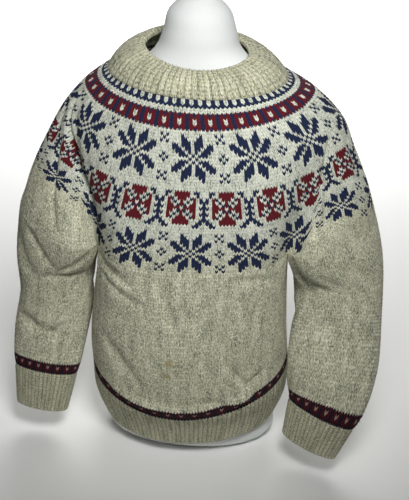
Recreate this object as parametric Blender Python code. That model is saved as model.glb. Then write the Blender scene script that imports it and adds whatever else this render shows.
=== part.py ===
"""A norwegian sweater with a round yoke, hand-knitted in thick wool, worn on a limbless dress form.

Metres, +Z up, the front facing -Y, the wearer's left side at +X.
Every cloth piece is a wall between an outer and an inner grid of points. The
grids come from smooth sections: rings round the yoke, sections up the body and
sections along each sleeve, with the folds as rows of short tables.
"""

import math

import bpy
import numpy as np

OBJECT_NAME = "norwegian_sweater"

# ---------------------------------------------------------------- driving sizes
CLOTH = 0.0032          # thickness of the knitted wall
SEAM = 0.0003           # gap left between two pieces at a seam
COLLAR_WALL = 0.0085    # two layers of rib, folded over

COLLAR_RIBS = 56
HEM_RIBS = 80
CUFF_RIBS = 24
RIB_RISE = 0.0014       # how far a rib stands over the groove beside it, hem and cuffs
COLLAR_RIB_RISE = 0.0020

# Columns and rows of points in the walls.
FRONT_COLUMNS = 30
SLEEVE_COLUMNS = 20
UNDERARM_COLUMNS = 6
YOKE_ROWS = 10
BODY_ROWS = 10
SLEEVE_ROWS = 13
HEM_ROWS = 1
CUFF_ROWS = 1
FORM_COLUMNS = 36
DENSE = 1440            # points round a loop before it is divided evenly

RISE_POWER = 1.6        # how late a ring's height turns from the sides to the front or back
TAKE_OVER = 0.45        # share of a piece's length over which it leaves the join's outline
SLEEVE_SQUARE = 2.1
NEAR = 0.01             # a small share of the way along, to find a direction
SHARP_ANGLE = 50.0      # degrees
MIRROR = np.array([-1.0, 1.0, 1.0])

# ---------------------------------------------------------------- tables
# The yoke's rings, from the collar seam (0) to the join with body and sleeves (1).
# Heights are those at the front, the sides and the back. The four creases
# between the chest or back and the sleeves lie at crease_x and sink by notch.
YOKE_RINGS = (
    ("along", "half_width", "front", "back", "height_front", "height_side", "height_back",
     "square", "middle_x", "lean", "crease_x", "notch", "notch_width"),
    (0.00, 0.141, 0.108, 0.104, 0.664, 0.674, 0.690, 2.1, -0.002, -0.03, 0.160, 0.000, 0.040),
    (0.17, 0.185, 0.115, 0.118, 0.614, 0.649, 0.645, 2.1, 0.001, 0.00, 0.182, 0.000, 0.040),
    (0.34, 0.222, 0.121, 0.126, 0.564, 0.611, 0.594, 2.1, 0.006, 0.00, 0.186, 0.004, 0.038),
    (0.55, 0.250, 0.126, 0.130, 0.504, 0.557, 0.535, 2.2, 0.004, 0.00, 0.180, 0.018, 0.034),
    (0.78, 0.279, 0.130, 0.130, 0.437, 0.495, 0.473, 2.2, 0.002, 0.01, 0.167, 0.036, 0.029),
    (1.00, 0.297, 0.131, 0.127, 0.376, 0.436, 0.410, 2.2, 0.000, 0.02, 0.156, 0.052, 0.022),
)

CREASE_START = 0.30     # above this the creases run on in the same columns
CREASE_SOFT = 2.0       # power of a crease's profile where it is soft, near the collar
CREASE_SHARP = 1.2      # and where it is a sharp fold, at the join
CREASE_LATE = 6         # how late it sharpens
UNDERARM_SAG = 0.008    # how far the grafted underarm hangs below the creases' ends

# The body's level sections, from the underarm down to the edge of the hem rib.
BODY_SECTIONS = (
    ("height", "half_width", "front", "back", "square", "middle_x"),
    (0.420, 0.154, 0.131, 0.127, 2.9, -0.003),
    (0.300, 0.164, 0.133, 0.118, 2.6, -0.006),
    (0.200, 0.171, 0.134, 0.113, 2.4, -0.008),
    (0.140, 0.172, 0.132, 0.111, 2.3, -0.004),
    (0.110, 0.172, 0.127, 0.109, 2.2, -0.003),
    (0.095, 0.170, 0.120, 0.107, 2.2, -0.002),
    (0.040, 0.150, 0.109, 0.098, 2.2, -0.001),
)
HEM_TOP = 0.107         # height where the hem rib meets the body, at the middle
HEM_EDGE = 0.045        # height of the rib's lower edge, at the middle
HEM_TOP_RISE = ((0.034, 1.4), (0.045, 2.0))  # how far its top rises to +X and -X, and how late
HEM_EDGE_RISE = ((0.008, 1.4), (0.010, 2.0))  # and its edge
HEM_SLACK = 0.0002      # more gap there, because the body's long chords dip below the curve
HEM_LEAN = (0.06, 0.16)  # how far the hem rises towards +X and +Y, over its run
HEM_ACROSS = np.array([-HEM_LEAN[0], -HEM_LEAN[1], 1.0])  # direction that crosses the hem's seam

# The sleeves' sections along their middle line, from the underarm to the cuff.
# middle_x is measured away from the body, turn is about the upright.
SLEEVE_HEADER = ("along", "middle_x", "middle_y", "height", "half_width", "half_depth", "turn")
LEFT_SLEEVE = (
    SLEEVE_HEADER,
    (0.00, 0.2265, -0.003, 0.415, 0.066, 0.085, 0.0),
    (0.26, 0.2440, -0.006, 0.335, 0.073, 0.070, 0.0),
    (0.52, 0.2480, -0.030, 0.258, 0.075, 0.058, -4.0),
    (0.77, 0.2440, -0.070, 0.178, 0.077, 0.046, -15.0),
    (0.95, 0.2360, -0.095, 0.122, 0.068, 0.038, -27.0),
    (1.00, 0.2316, -0.099, 0.107, 0.063, 0.036, -30.0),
)
RIGHT_SLEEVE = (
    SLEEVE_HEADER,
    (0.00, 0.2265, -0.003, 0.410, 0.066, 0.085, 0.0),
    (0.26, 0.2395, -0.003, 0.335, 0.066, 0.070, 0.0),
    (0.52, 0.2400, -0.008, 0.260, 0.064, 0.058, 2.0),
    (0.78, 0.2520, -0.022, 0.186, 0.064, 0.046, 6.0),
    (0.95, 0.2580, -0.036, 0.134, 0.060, 0.038, 10.0),
    (1.00, 0.2592, -0.0395, 0.121, 0.057, 0.036, 11.0),
)
LEFT_CUFF_LENGTH = 0.061
RIGHT_CUFF_LENGTH = 0.070
CUFF_TAPER = 0.825      # the cuff's edge against its seam

# Folds: where each starts and ends, as shares of the way round and down.
FOLD_HEADER = ("from_round", "from_down", "to_round", "to_down", "half_width", "depth")
YOKE_FOLDS = (
    FOLD_HEADER,
    (0.975, 0.24, 0.995, 0.62, 0.013, 0.0065),
    (0.940, 0.36, 0.965, 0.70, 0.011, 0.0040),
    (0.880, 0.55, 0.900, 0.90, 0.014, 0.0035),
    (0.345, 0.48, 0.335, 0.84, 0.011, 0.0045),
    (0.420, 0.50, 0.405, 0.88, 0.014, 0.0030),
    (0.055, 0.62, 0.030, 0.94, 0.010, 0.0030),
    (0.560, 0.35, 0.590, 0.90, 0.018, 0.0035),
    (0.735, 0.40, 0.715, 0.88, 0.018, 0.0035),
)
BODY_FOLDS = (
    FOLD_HEADER,
    (0.020, 0.02, 0.110, 0.10, 0.009, 0.0030),
    (0.300, 0.03, 0.370, 0.10, 0.010, 0.0030),
    (0.275, 0.15, 0.262, 0.85, 0.020, 0.0040),
    (0.240, 0.88, 0.300, 0.93, 0.008, 0.0040),
    (0.100, 0.30, 0.075, 0.80, 0.022, 0.0030),
    (0.560, 0.10, 0.600, 0.75, 0.020, 0.0045),
    (0.700, 0.25, 0.680, 0.90, 0.022, 0.0040),
    (0.830, 0.05, 0.770, 0.14, 0.010, 0.0035),
)
LEFT_FOLDS = (
    FOLD_HEADER,
    (0.020, 0.10, 0.090, 0.30, 0.012, 0.0060),
    (0.220, 0.70, 0.340, 0.80, 0.010, 0.0050),
    (0.050, 0.60, 0.160, 0.52, 0.012, 0.0035),
    (0.040, 0.90, 0.220, 0.93, 0.008, 0.0030),
    (0.430, 0.30, 0.580, 0.45, 0.012, 0.0055),
    (0.480, 0.74, 0.620, 0.80, 0.010, 0.0050),
    (0.800, 0.45, 0.930, 0.52, 0.012, 0.0045),
)
RIGHT_FOLDS = (
    FOLD_HEADER,
    (0.010, 0.27, 0.140, 0.30, 0.009, 0.0060),
    (0.330, 0.14, 0.200, 0.34, 0.013, 0.0045),
    (0.300, 0.68, 0.030, 0.76, 0.010, 0.0050),
    (0.060, 0.88, 0.240, 0.92, 0.008, 0.0030),
    (0.420, 0.26, 0.560, 0.40, 0.012, 0.0055),
    (0.450, 0.70, 0.600, 0.78, 0.010, 0.0050),
    (0.790, 0.40, 0.920, 0.50, 0.012, 0.0045),
)

# The dress form's level sections, from its flat base to the top of its neck.
FORM_SECTIONS = (
    ("height", "half_width", "front", "back", "middle_x", "middle_y", "square"),
    (0.000, 0.134, 0.080, 0.074, 0.000, 0.000, 2.2),
    (0.006, 0.143, 0.088, 0.080, 0.000, 0.000, 2.2),
    (0.040, 0.146, 0.096, 0.084, 0.000, 0.000, 2.2),
    (0.120, 0.150, 0.102, 0.090, 0.000, 0.000, 2.2),
    (0.270, 0.124, 0.088, 0.082, 0.000, 0.000, 2.2),
    (0.420, 0.142, 0.112, 0.096, 0.000, 0.000, 2.3),
    (0.530, 0.168, 0.100, 0.100, 0.000, 0.000, 2.4),
    (0.590, 0.184, 0.084, 0.090, 0.000, 0.000, 2.3),
    (0.620, 0.190, 0.072, 0.082, 0.000, 0.004, 2.1),
    (0.645, 0.176, 0.064, 0.072, 0.000, 0.006, 2.0),
    (0.665, 0.127, 0.060, 0.064, 0.000, 0.008, 2.0),
    (0.686, 0.090, 0.058, 0.058, -0.001, 0.010, 2.0),
    (0.708, 0.068, 0.055, 0.055, -0.002, 0.010, 2.0),
    (0.740, 0.057, 0.053, 0.053, -0.001, 0.010, 2.0),
    (0.770, 0.047, 0.044, 0.044, -0.002, 0.010, 2.0),
    (0.792, 0.025, 0.024, 0.024, -0.002, 0.010, 2.0),
)

# The collar's folded edge, and its profile from the seam up: how far up its
# slope, and how far out from its middle layer, in shares of half its wall.
COLLAR_RIM = {
    "half_width": 0.087, "front": 0.076, "back": 0.076, "middle_x": -0.004, "lean": -0.07,
    "height_front": 0.694, "height_side": 0.708, "height_back": 0.722,
}
COLLAR_BULGE = 0.008
COLLAR_PROFILE = (
    ("up", "out"),
    (0.00, 1.00),
    (0.30, 1.00),
    (0.62, 1.00),
    (0.90, 0.92),
    (1.00, 0.00),
    (0.90, -0.92),
    (0.45, -1.00),
    (0.00, -1.00),
)

WOOL = (0.56, 0.54, 0.46)
COLOURS = {
    "yoke": ((0.62, 0.61, 0.54), 0.95),
    "body": (WOOL, 0.95),
    "hem_rib": (WOOL, 0.95),
    "sleeve_left": (WOOL, 0.95),
    "cuff_left": (WOOL, 0.95),
    "sleeve_right": (WOOL, 0.95),
    "cuff_right": (WOOL, 0.95),
    "collar": (WOOL, 0.95),
    "dress_form": ((0.85, 0.85, 0.84), 0.80),
}


# ---------------------------------------------------------------- curves
def named(table, name):
    """One column of a table whose first row holds the column names."""
    place = table[0].index(name)
    return np.array([row[place] for row in table[1:]])


def smooth_through(knots, values, at):
    """A smooth curve through the values at the knots, read at the places given."""
    slopes = np.gradient(values, knots)
    at = np.clip(np.asarray(at, float), knots[0], knots[-1])
    left = np.clip(np.searchsorted(knots, at, side="right") - 1, 0, len(knots) - 2)
    span = knots[left + 1] - knots[left]
    t = (at - knots[left]) / span
    start = values[left] * (2 * t**3 - 3 * t**2 + 1) + slopes[left] * span * (t**3 - 2 * t**2 + t)
    end = values[left + 1] * (3 * t**2 - 2 * t**3) + slopes[left + 1] * span * (t**3 - t**2)
    return start + end


def read_table(table, key, at, flip=False):
    """Every column of a table as a smooth curve of its key column, read at one place or more."""
    order = slice(None, None, -1) if flip else slice(None)
    knots = named(table, key)[order]
    return {name: smooth_through(knots, named(table, name)[order], at) for name in table[0] if name != key}


def ease(t):
    """From 0 to 1 with level ends."""
    t = np.clip(t, 0.0, 1.0)
    return t * t * (3.0 - 2.0 * t)


def oval(angle, half_width, front, back, square):
    """A rounded loop seen from above: angle 0 is the front and a quarter turn is +X."""
    across = np.sin(angle)
    along = -np.cos(angle)
    x = half_width * np.sign(across) * np.abs(across) ** (2.0 / square)
    y = np.sign(along) * np.abs(along) ** (2.0 / square)
    return x, y * np.where(y < 0.0, front, back)


def loop_lengths(loop):
    """The length along a closed loop at each of its points, and at its end."""
    closed = np.vstack([loop, loop[:1]])
    steps = np.linalg.norm(np.diff(closed, axis=0), axis=1)
    return closed, np.concatenate([[0.0], np.cumsum(steps)])


def even_points(loop, shares):
    """Points of a closed loop at the given shares of its length."""
    closed, length = loop_lengths(loop)
    at = np.mod(shares, 1.0) * length[-1]
    return np.stack([np.interp(at, length, closed[:, axis]) for axis in range(closed.shape[1])], axis=1)


# ---------------------------------------------------------------- the yoke
def yoke_ring(along):
    """One dense ring of the yoke with its creases, from the front middle round by +X."""
    size = read_table(YOKE_RINGS, "along", along)
    angle = np.linspace(0.0, 2.0 * math.pi, DENSE, endpoint=False)
    x, y = oval(angle, size["half_width"], size["front"], size["back"], size["square"])
    forward = np.clip(-y / size["front"], 0.0, 1.0) ** RISE_POWER
    backward = np.clip(y / size["back"], 0.0, 1.0) ** RISE_POWER
    z = size["height_side"] + forward * (size["height_front"] - size["height_side"])
    z = z + backward * (size["height_back"] - size["height_side"]) + size["lean"] * x
    edge = CREASE_SOFT + (CREASE_SHARP - CREASE_SOFT) * along**CREASE_LATE
    pull = np.exp(-((np.abs(np.abs(x) - size["crease_x"]) / size["notch_width"]) ** edge))
    y = y - np.sign(y) * pull * size["notch"]
    return np.stack([x + size["middle_x"], y, z], axis=1)


def crease_shares(along):
    """Where a ring's four creases lie as shares of its length: front +X, back +X, back -X, front -X."""
    along = max(along, CREASE_START)
    size = read_table(YOKE_RINGS, "along", along)
    ring = yoke_ring(along)
    length = loop_lengths(ring)[1]
    sideways = np.abs(ring[:, 0] - size["middle_x"])
    sideways = np.append(sideways, sideways[0])
    quarter = DENSE // 4
    shares = []
    for part in range(4):
        span = np.arange(part * quarter, (part + 1) * quarter + 1)
        order = slice(None) if part in (0, 2) else slice(None, None, -1)
        place = np.interp(float(size["crease_x"]), sideways[span][order], length[span][order])
        shares.append(place / length[-1])
    return shares


def column_shares(along, front_columns, sleeve_columns):
    """Shares of a ring's length at the yoke's columns, starting at the front -X crease."""
    front_left, back_left, back_right, front_right = crease_shares(along)
    stops = (front_right - 1.0, front_left, back_left, back_right, front_right)
    counts = (front_columns, sleeve_columns, front_columns, sleeve_columns)
    stretches = [np.linspace(stops[n], stops[n + 1], counts[n], endpoint=False) for n in range(4)]
    return np.concatenate(stretches)


def yoke_grid():
    """The yoke's points, with a column along each of its creases."""
    rings = []
    for along in np.linspace(0.0, 1.0, YOKE_ROWS + 1):
        rings.append(even_points(yoke_ring(along), column_shares(along, FRONT_COLUMNS, SLEEVE_COLUMNS)))
    return np.stack(rings)


def split_join(join, front_count, sleeve_count):
    """The yoke's last row as its four stretches, each with both of its end points."""
    closed = np.vstack([join, join[:1]])
    stops = np.cumsum([0, front_count, sleeve_count, front_count, sleeve_count])
    return [closed[a : b + 1] for a, b in zip(stops[:-1], stops[1:])]


def underarm(start, end, count):
    """Points between two ends of an armhole, without the ends."""
    share = (np.arange(1, count) / count)[:, None]
    return start + (end - start) * share - np.array([0.0, 0.0, UNDERARM_SAG]) * np.sin(math.pi * share)


# ---------------------------------------------------------------- body and sleeves
def body_points(heights, shares):
    """A point of the body's level sections for each height and share round from the front middle."""
    angle = np.linspace(0.0, 2.0 * math.pi, DENSE, endpoint=False)
    points = []
    for height, share in zip(heights, shares):
        size = read_table(BODY_SECTIONS, "height", height, flip=True)
        x, y = oval(angle, size["half_width"], size["front"], size["back"], size["square"])
        points.append(even_points(np.stack([x + size["middle_x"], y], axis=1), [share])[0])
    return np.stack(points)


def hem_heights(middle, rises, shares):
    """Heights of the hem's top or edge round the body, which rise from the middles to the sides."""
    sideways = np.sin(2.0 * math.pi * shares)
    left, right = (rise * np.abs(sideways) ** late for rise, late in rises)
    return middle + np.where(sideways > 0.0, left, right)


def body_grid(top, front_length, rows):
    """The body below its top loop, whose first stretch is the front."""
    length = loop_lengths(top)[1]
    shares = (length[:-1] - 0.5 * front_length) / length[-1]
    offset = top[:, :2] - body_points(top[:, 2], shares)
    seam = hem_heights(HEM_TOP, HEM_TOP_RISE, shares)
    rise = body_points(seam, shares) @ np.array(HEM_LEAN)
    grid = []
    for down in np.linspace(0.0, 1.0, rows + 1):
        heights = top[:, 2] + (seam - top[:, 2]) * down
        level = body_points(heights, shares) + offset * (1.0 - ease(down / TAKE_OVER))
        grid.append(np.column_stack([level, heights + rise * down]))
    return np.stack(grid)


def sleeve_frame(table, along):
    """Middle point, sideways and depth directions and half sizes of one sleeve section."""
    size = read_table(table, "along", along)
    before = read_table(table, "along", max(along - NEAR, 0.0))
    after = read_table(table, "along", min(along + NEAR, 1.0))
    names = ("middle_x", "middle_y", "height")
    middle = np.array([float(size[name]) for name in names])
    run = np.array([float(after[name] - before[name]) for name in names])
    run = run / np.linalg.norm(run)
    turn = math.radians(float(size["turn"]))
    sideways = np.array([math.cos(turn), math.sin(turn), 0.0])
    sideways = sideways - run * np.dot(run, sideways)
    sideways = sideways / np.linalg.norm(sideways)
    depth = np.cross(sideways, run)
    return middle, run, sideways, depth, float(size["half_width"]), float(size["half_depth"])


def sleeve_section(frame, shares):
    middle, run, sideways, depth, half_width, half_depth = frame
    angle = np.linspace(0.0, 2.0 * math.pi, DENSE, endpoint=False)
    x, y = oval(angle, half_width, half_depth, half_depth, SLEEVE_SQUARE)
    flat = even_points(np.stack([x, y], axis=1), shares)
    return middle + flat[:, :1] * sideways + flat[:, 1:] * depth


def sleeve_shares(top, outer_length):
    length = loop_lengths(top)[1]
    return (length[:-1] - 0.5 * outer_length) / length[-1] + 0.25


def sleeve_grid(table, top, outer_length, rows):
    """A sleeve below its top loop, whose first stretch is the outer side from front to back."""
    shares = sleeve_shares(top, outer_length)
    offset = top - sleeve_section(sleeve_frame(table, 0.0), shares)
    grid = []
    for along in np.linspace(0.0, 1.0, rows + 1):
        level = sleeve_section(sleeve_frame(table, along), shares)
        grid.append(level + offset * (1.0 - ease(along / TAKE_OVER)))
    return np.stack(grid)


def tube_normals(grid):
    """Directions out of a wall whose rows run down and whose columns run round."""
    round_step = np.roll(grid, -1, axis=1) - np.roll(grid, 1, axis=1)
    down_step = np.gradient(grid, axis=0)
    normals = np.cross(down_step, round_step)
    return normals / np.linalg.norm(normals, axis=2, keepdims=True)


def polyline_length(points):
    return float(np.linalg.norm(np.diff(points, axis=0), axis=1).sum())


# ---------------------------------------------------------------- folds
def sink_folds(grid, table, girth, drop):
    """Move a grid inwards along the folds of a table and outwards where a depth is negative.

    A fold runs from one place to another, each given as shares of the way round
    and down; half_width and depth are metres.
    """
    rows, columns = grid.shape[:2]
    down, across = np.meshgrid(np.linspace(0.0, 1.0, rows), np.arange(columns) / columns, indexing="ij")
    sink = np.zeros((rows, columns))
    for fold in table[1:]:
        place = dict(zip(table[0], fold))
        line = np.array([(place["to_round"] - place["from_round"]) * girth,
                         (place["to_down"] - place["from_down"]) * drop])
        round_gap = np.mod(across - place["from_round"] + 0.5, 1.0) - 0.5
        spot = np.stack([round_gap * girth, (down - place["from_down"]) * drop])
        share = np.tensordot(line, spot, axes=1) / np.dot(line, line)
        inside = np.clip(share, 0.0, 1.0)
        away = spot - line[:, None, None] * inside
        distance = np.sqrt((away**2).sum(axis=0)) / place["half_width"]
        taper = 1.0 - 0.5 * (2.0 * inside - 1.0) ** 2
        sink += place["depth"] * taper * np.exp(-(distance**2))
    return grid - tube_normals(grid) * sink[:, :, None]


# ---------------------------------------------------------------- walls
def level_with(normals, across):
    """Normals laid into the plane that a seam lies in, which the given direction crosses."""
    across = across / np.linalg.norm(across)
    flat = normals - np.outer(normals @ across, across)
    return flat / np.linalg.norm(flat, axis=1, keepdims=True)


def square_creases(seam_normals):
    """Normals along the join whose four crease points face straight to the front or back."""
    squared = seam_normals.copy()
    stops = np.cumsum([0, FRONT_COLUMNS, SLEEVE_COLUMNS, FRONT_COLUMNS])
    squared[stops] = level_with(squared[stops], np.array([1.0, 0.0, 0.0]))
    return squared


def wall(outer, normals, thickness):
    """Outer and inner grid of a wall, drawn back at both ends by half a seam's gap."""
    inner = outer - normals * thickness
    for end, back in ((0, 0.5 * SEAM), (-1, -0.5 * SEAM)):
        round_step = np.roll(outer[end], -1, axis=0) - np.roll(outer[end], 1, axis=0)
        down = np.cross(round_step, normals[end])
        down = down / np.linalg.norm(down, axis=1, keepdims=True)
        inner[end] = inner[end] + down * back
        outer[end] = outer[end] + down * back
    return outer, inner


def ridges(columns):
    """1 on a rib's ridge and 0 in the groove beside it, for each column."""
    return (np.arange(columns) % 2 == 0).astype(float)


def yoke_walls():
    grid = yoke_grid()
    drop = polyline_length(grid[:, FRONT_COLUMNS // 2])
    girth = loop_lengths(grid[YOKE_ROWS // 2])[1][-1]
    return sink_folds(grid, YOKE_FOLDS, girth, drop)


def underarm_loops(join):
    """Top loops of the body and of both sleeves, the right one mirrored to +X."""
    front, left, back, right = split_join(join, FRONT_COLUMNS, SLEEVE_COLUMNS)
    under_left = underarm(front[-1], back[0], UNDERARM_COLUMNS)
    under_right = underarm(back[-1], front[0], UNDERARM_COLUMNS)
    body = np.vstack([front, under_left, back, under_right])
    left_loop = np.vstack([left, under_left[::-1]])
    right_loop = np.vstack([right[::-1], under_right]) * MIRROR
    return body, left_loop, right_loop


def part_underarm(loop, first, last, shift):
    """Move the points of one armhole's underarm sideways, both of its ends included."""
    moved = loop.copy()
    places = np.arange(first, last + 1) % len(loop)
    moved[places, 0] += shift
    return moved


def body_wall(top, seam_normals):
    front_length = polyline_length(top[: FRONT_COLUMNS + 1])
    grid = body_grid(top, front_length, BODY_ROWS)
    girth = loop_lengths(grid[BODY_ROWS // 2])[1][-1]
    drop = polyline_length(grid[:, FRONT_COLUMNS // 2])
    grid = sink_folds(grid, BODY_FOLDS, girth, drop)
    grid[0] = top
    normals = tube_normals(grid)
    front, _, back, _ = split_join(seam_normals, FRONT_COLUMNS, SLEEVE_COLUMNS)
    back_first = FRONT_COLUMNS + UNDERARM_COLUMNS
    normals[0, : FRONT_COLUMNS + 1] = front
    normals[0, back_first : back_first + FRONT_COLUMNS + 1] = back
    for first, side in ((FRONT_COLUMNS, 1.0), (back_first + FRONT_COLUMNS, -1.0)):
        grid[0] = part_underarm(grid[0], first, first + UNDERARM_COLUMNS, -0.5 * SEAM * side)
    normals[-1] = level_with(normals[-1], HEM_ACROSS)
    return wall(grid, normals, CLOTH)


def sleeve_wall(table, folds, top, seam_normals):
    """One sleeve's wall at +X, from its top loop and the normals along the armhole's outer side."""
    outer_length = polyline_length(top[: SLEEVE_COLUMNS + 1])
    grid = sleeve_grid(table, top, outer_length, SLEEVE_ROWS)
    girth = loop_lengths(grid[SLEEVE_ROWS // 2])[1][-1]
    drop = polyline_length(grid[:, SLEEVE_COLUMNS // 2])
    grid = sink_folds(grid, folds, girth, drop)
    grid[0] = top
    normals = tube_normals(grid)
    normals[0, : SLEEVE_COLUMNS + 1] = seam_normals
    first = SLEEVE_COLUMNS
    grid[0] = part_underarm(grid[0], first, first + UNDERARM_COLUMNS, 0.5 * SEAM)
    normals[-1] = level_with(normals[-1], sleeve_frame(table, 1.0)[1])
    return wall(grid, normals, CLOTH)


def cuff_wall(table, cuff_length):
    """A ribbed cuff at +X, running on from the end of a sleeve."""
    columns = 2 * CUFF_RIBS
    middle, run, sideways, depth, half_width, half_depth = sleeve_frame(table, 1.0)
    shares = np.arange(columns) / columns
    levels = []
    for down in np.linspace(0.0, 1.0, CUFF_ROWS + 1):
        size = 1.0 + (CUFF_TAPER - 1.0) * down
        place = middle + run * cuff_length * down
        frame = (place, run, sideways, depth, half_width * size, half_depth * size)
        levels.append(sleeve_section(frame, shares))
    return ribbed_wall(np.stack(levels), columns, run)


def ribbed_wall(grid, columns, across):
    """A wall with ribs raised in its outer points over a plain inside, its seam crossed by a direction."""
    normals = tube_normals(grid)
    normals[0] = level_with(normals[0], across)
    outer, inner = wall(grid, normals, CLOTH)
    raised = outer + normals * (RIB_RISE * ridges(columns))[None, :, None]
    return raised, inner


def hem_wall():
    columns = 2 * HEM_RIBS
    shares = np.arange(columns) / columns
    seam = hem_heights(HEM_TOP - HEM_SLACK, HEM_TOP_RISE, shares)
    edge = hem_heights(HEM_EDGE, HEM_EDGE_RISE, shares)
    levels = []
    for down in np.linspace(0.0, 1.0, HEM_ROWS + 1):
        heights = seam + (edge - seam) * down
        flat = body_points(heights, shares)
        levels.append(np.column_stack([flat, heights + flat @ np.array(HEM_LEAN)]))
    return ribbed_wall(np.stack(levels), columns, HEM_ACROSS)


def collar_sections(base, base_normals):
    """The collar's closed profile round its ring, from the seam's outer edge over the fold."""
    columns = len(base)
    angle = np.linspace(0.0, 2.0 * math.pi, DENSE, endpoint=False)
    rim = COLLAR_RIM
    x, y = oval(angle, rim["half_width"], rim["front"], rim["back"], 2.0)
    forward = np.clip(-y / rim["front"], 0.0, 1.0) ** RISE_POWER
    backward = np.clip(y / rim["back"], 0.0, 1.0) ** RISE_POWER
    z = rim["height_side"] + forward * (rim["height_front"] - rim["height_side"])
    z = z + backward * (rim["height_back"] - rim["height_side"]) + rim["lean"] * x
    shares = np.arange(columns) / columns
    top = even_points(np.stack([x + rim["middle_x"], y, z], axis=1), shares)
    bottom = base - base_normals * (0.5 * COLLAR_WALL)
    slope = bottom - top
    normals = tube_normals(np.stack([top, bottom]))[0]
    sections = []
    for up, out in zip(named(COLLAR_PROFILE, "up"), named(COLLAR_PROFILE, "out")):
        middle = bottom - slope * up
        facing = base_normals + (normals - base_normals) * ease(up / 0.5)
        facing = facing / np.linalg.norm(facing, axis=1, keepdims=True)
        middle = middle + facing * (COLLAR_BULGE * math.sin(math.pi * up))
        rise = COLLAR_RIB_RISE * ridges(columns) * max(out, 0.0)
        reach = out * 0.5 * COLLAR_WALL + rise
        lift = SEAM if up == 0.0 else 0.0
        step = -slope / np.linalg.norm(slope, axis=1, keepdims=True) * lift
        sections.append(middle + facing * reach[:, None] + step)
    return np.stack(sections[::-1])


def form_sections():
    heights = named(FORM_SECTIONS, "height")
    angle = np.linspace(0.0, 2.0 * math.pi, DENSE, endpoint=False)
    sections = []
    for height in heights[::-1]:
        size = read_table(FORM_SECTIONS, "height", height)
        x, y = oval(angle, size["half_width"], size["front"], size["back"], size["square"])
        level = np.stack([x + size["middle_x"], y + size["middle_y"]], axis=1)
        flat = even_points(level, np.arange(FORM_COLUMNS) / FORM_COLUMNS)
        sections.append(np.column_stack([flat, np.full(FORM_COLUMNS, height)]))
    return np.stack(sections)


# ---------------------------------------------------------------- solids
def material(name, colour, roughness):
    made = bpy.data.materials.new(name)
    made.use_nodes = True
    shader = made.node_tree.nodes["Principled BSDF"]
    shader.inputs["Base Color"].default_value = (*colour, 1.0)
    shader.inputs["Roughness"].default_value = roughness
    shader.inputs["Metallic"].default_value = 0.0
    made.diffuse_color = (*colour, 1.0)
    return made


def loft_faces(sections, columns, closed):
    """Quads between the columns of a loft whose sections are stored one after another."""
    faces = []
    for row in range(sections if closed else sections - 1):
        below = (row + 1) % sections
        for column in range(columns):
            beside = (column + 1) % columns
            face = (row * columns + column, below * columns + column,
                    below * columns + beside, row * columns + beside)
            faces.append(face if below else face[1:] + face[:1])
    return faces


def add_loft(name, sections, made_of, collection, closed=True):
    """A closed wall, or a solid with a flat face at each end when it isn't closed."""
    count, columns = sections.shape[:2]
    faces = loft_faces(count, columns, closed)
    if not closed:
        faces.append(tuple(range(columns)))
        faces.append(tuple(range(count * columns - 1, (count - 1) * columns - 1, -1)))
    mesh = bpy.data.meshes.new(name)
    mesh.from_pydata(sections.reshape(-1, 3).tolist(), [], faces)
    mesh.shade_smooth()
    mesh.set_sharp_from_angle(angle=math.radians(SHARP_ANGLE))
    mesh.materials.append(made_of)
    piece = bpy.data.objects.new(name, mesh)
    collection.objects.link(piece)
    return piece


def garment_lofts():
    """The sections of every cloth piece by name, in the order they are knitted."""
    yoke = yoke_walls()
    normals = tube_normals(yoke)
    normals[-1] = square_creases(normals[-1])
    join = yoke[-1].copy()
    seam = normals[-1]
    body_top, left_top, right_top = underarm_loops(join)
    _, left_seam, _, right_seam = split_join(seam, FRONT_COLUMNS, SLEEVE_COLUMNS)
    ribs = np.arange(2 * COLLAR_RIBS) / (2 * COLLAR_RIBS)
    neck = even_points(yoke_ring(0.0), ribs)
    neck_normals = tube_normals(np.stack([neck, even_points(yoke_ring(NEAR), ribs)]))[0]
    walls = {
        "yoke": wall(yoke.copy(), normals, CLOTH),
        "body": body_wall(body_top, seam),
        "hem_rib": hem_wall(),
        "sleeve_left": sleeve_wall(LEFT_SLEEVE, LEFT_FOLDS, left_top, left_seam),
        "cuff_left": cuff_wall(LEFT_SLEEVE, LEFT_CUFF_LENGTH),
        "sleeve_right": sleeve_wall(RIGHT_SLEEVE, RIGHT_FOLDS, right_top, right_seam[::-1] * MIRROR),
        "cuff_right": cuff_wall(RIGHT_SLEEVE, RIGHT_CUFF_LENGTH),
    }
    lofts = {name: np.concatenate([outer, inner[::-1]]) for name, (outer, inner) in walls.items()}
    for name in ("sleeve_right", "cuff_right"):
        lofts[name] = lofts[name][:, ::-1] * MIRROR
    lofts["collar"] = collar_sections(neck, neck_normals)
    return lofts


def main():
    for old in list(bpy.data.objects):
        bpy.data.objects.remove(old, do_unlink=True)
    collection = bpy.data.collections.new(OBJECT_NAME)
    bpy.context.scene.collection.children.link(collection)
    lofts = garment_lofts()
    lofts["dress_form"] = form_sections()
    points = np.vstack([sections.reshape(-1, 3) for sections in lofts.values()])
    centre = 0.5 * (points.min(axis=0) + points.max(axis=0)) * np.array([1.0, 1.0, 0.0])
    for name, sections in lofts.items():
        colour, roughness = COLOURS[name]
        made_of = material(name + "_cloth", colour, roughness)
        add_loft(name, sections - centre, made_of, collection, closed=name != "dress_form")


main()
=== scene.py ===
"""Norwegian sweater with a round yoke on a dress form: every knitted stitch as mesh.

Metres, +Z up, the front facing -Y, the wearer's left side at +X. The cloth follows
smooth sections: rings round the yoke, sections up the body and along each sleeve.
Rows of V-shaped stitches and 1x1 ribs are laid over those sections.
"""

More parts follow.
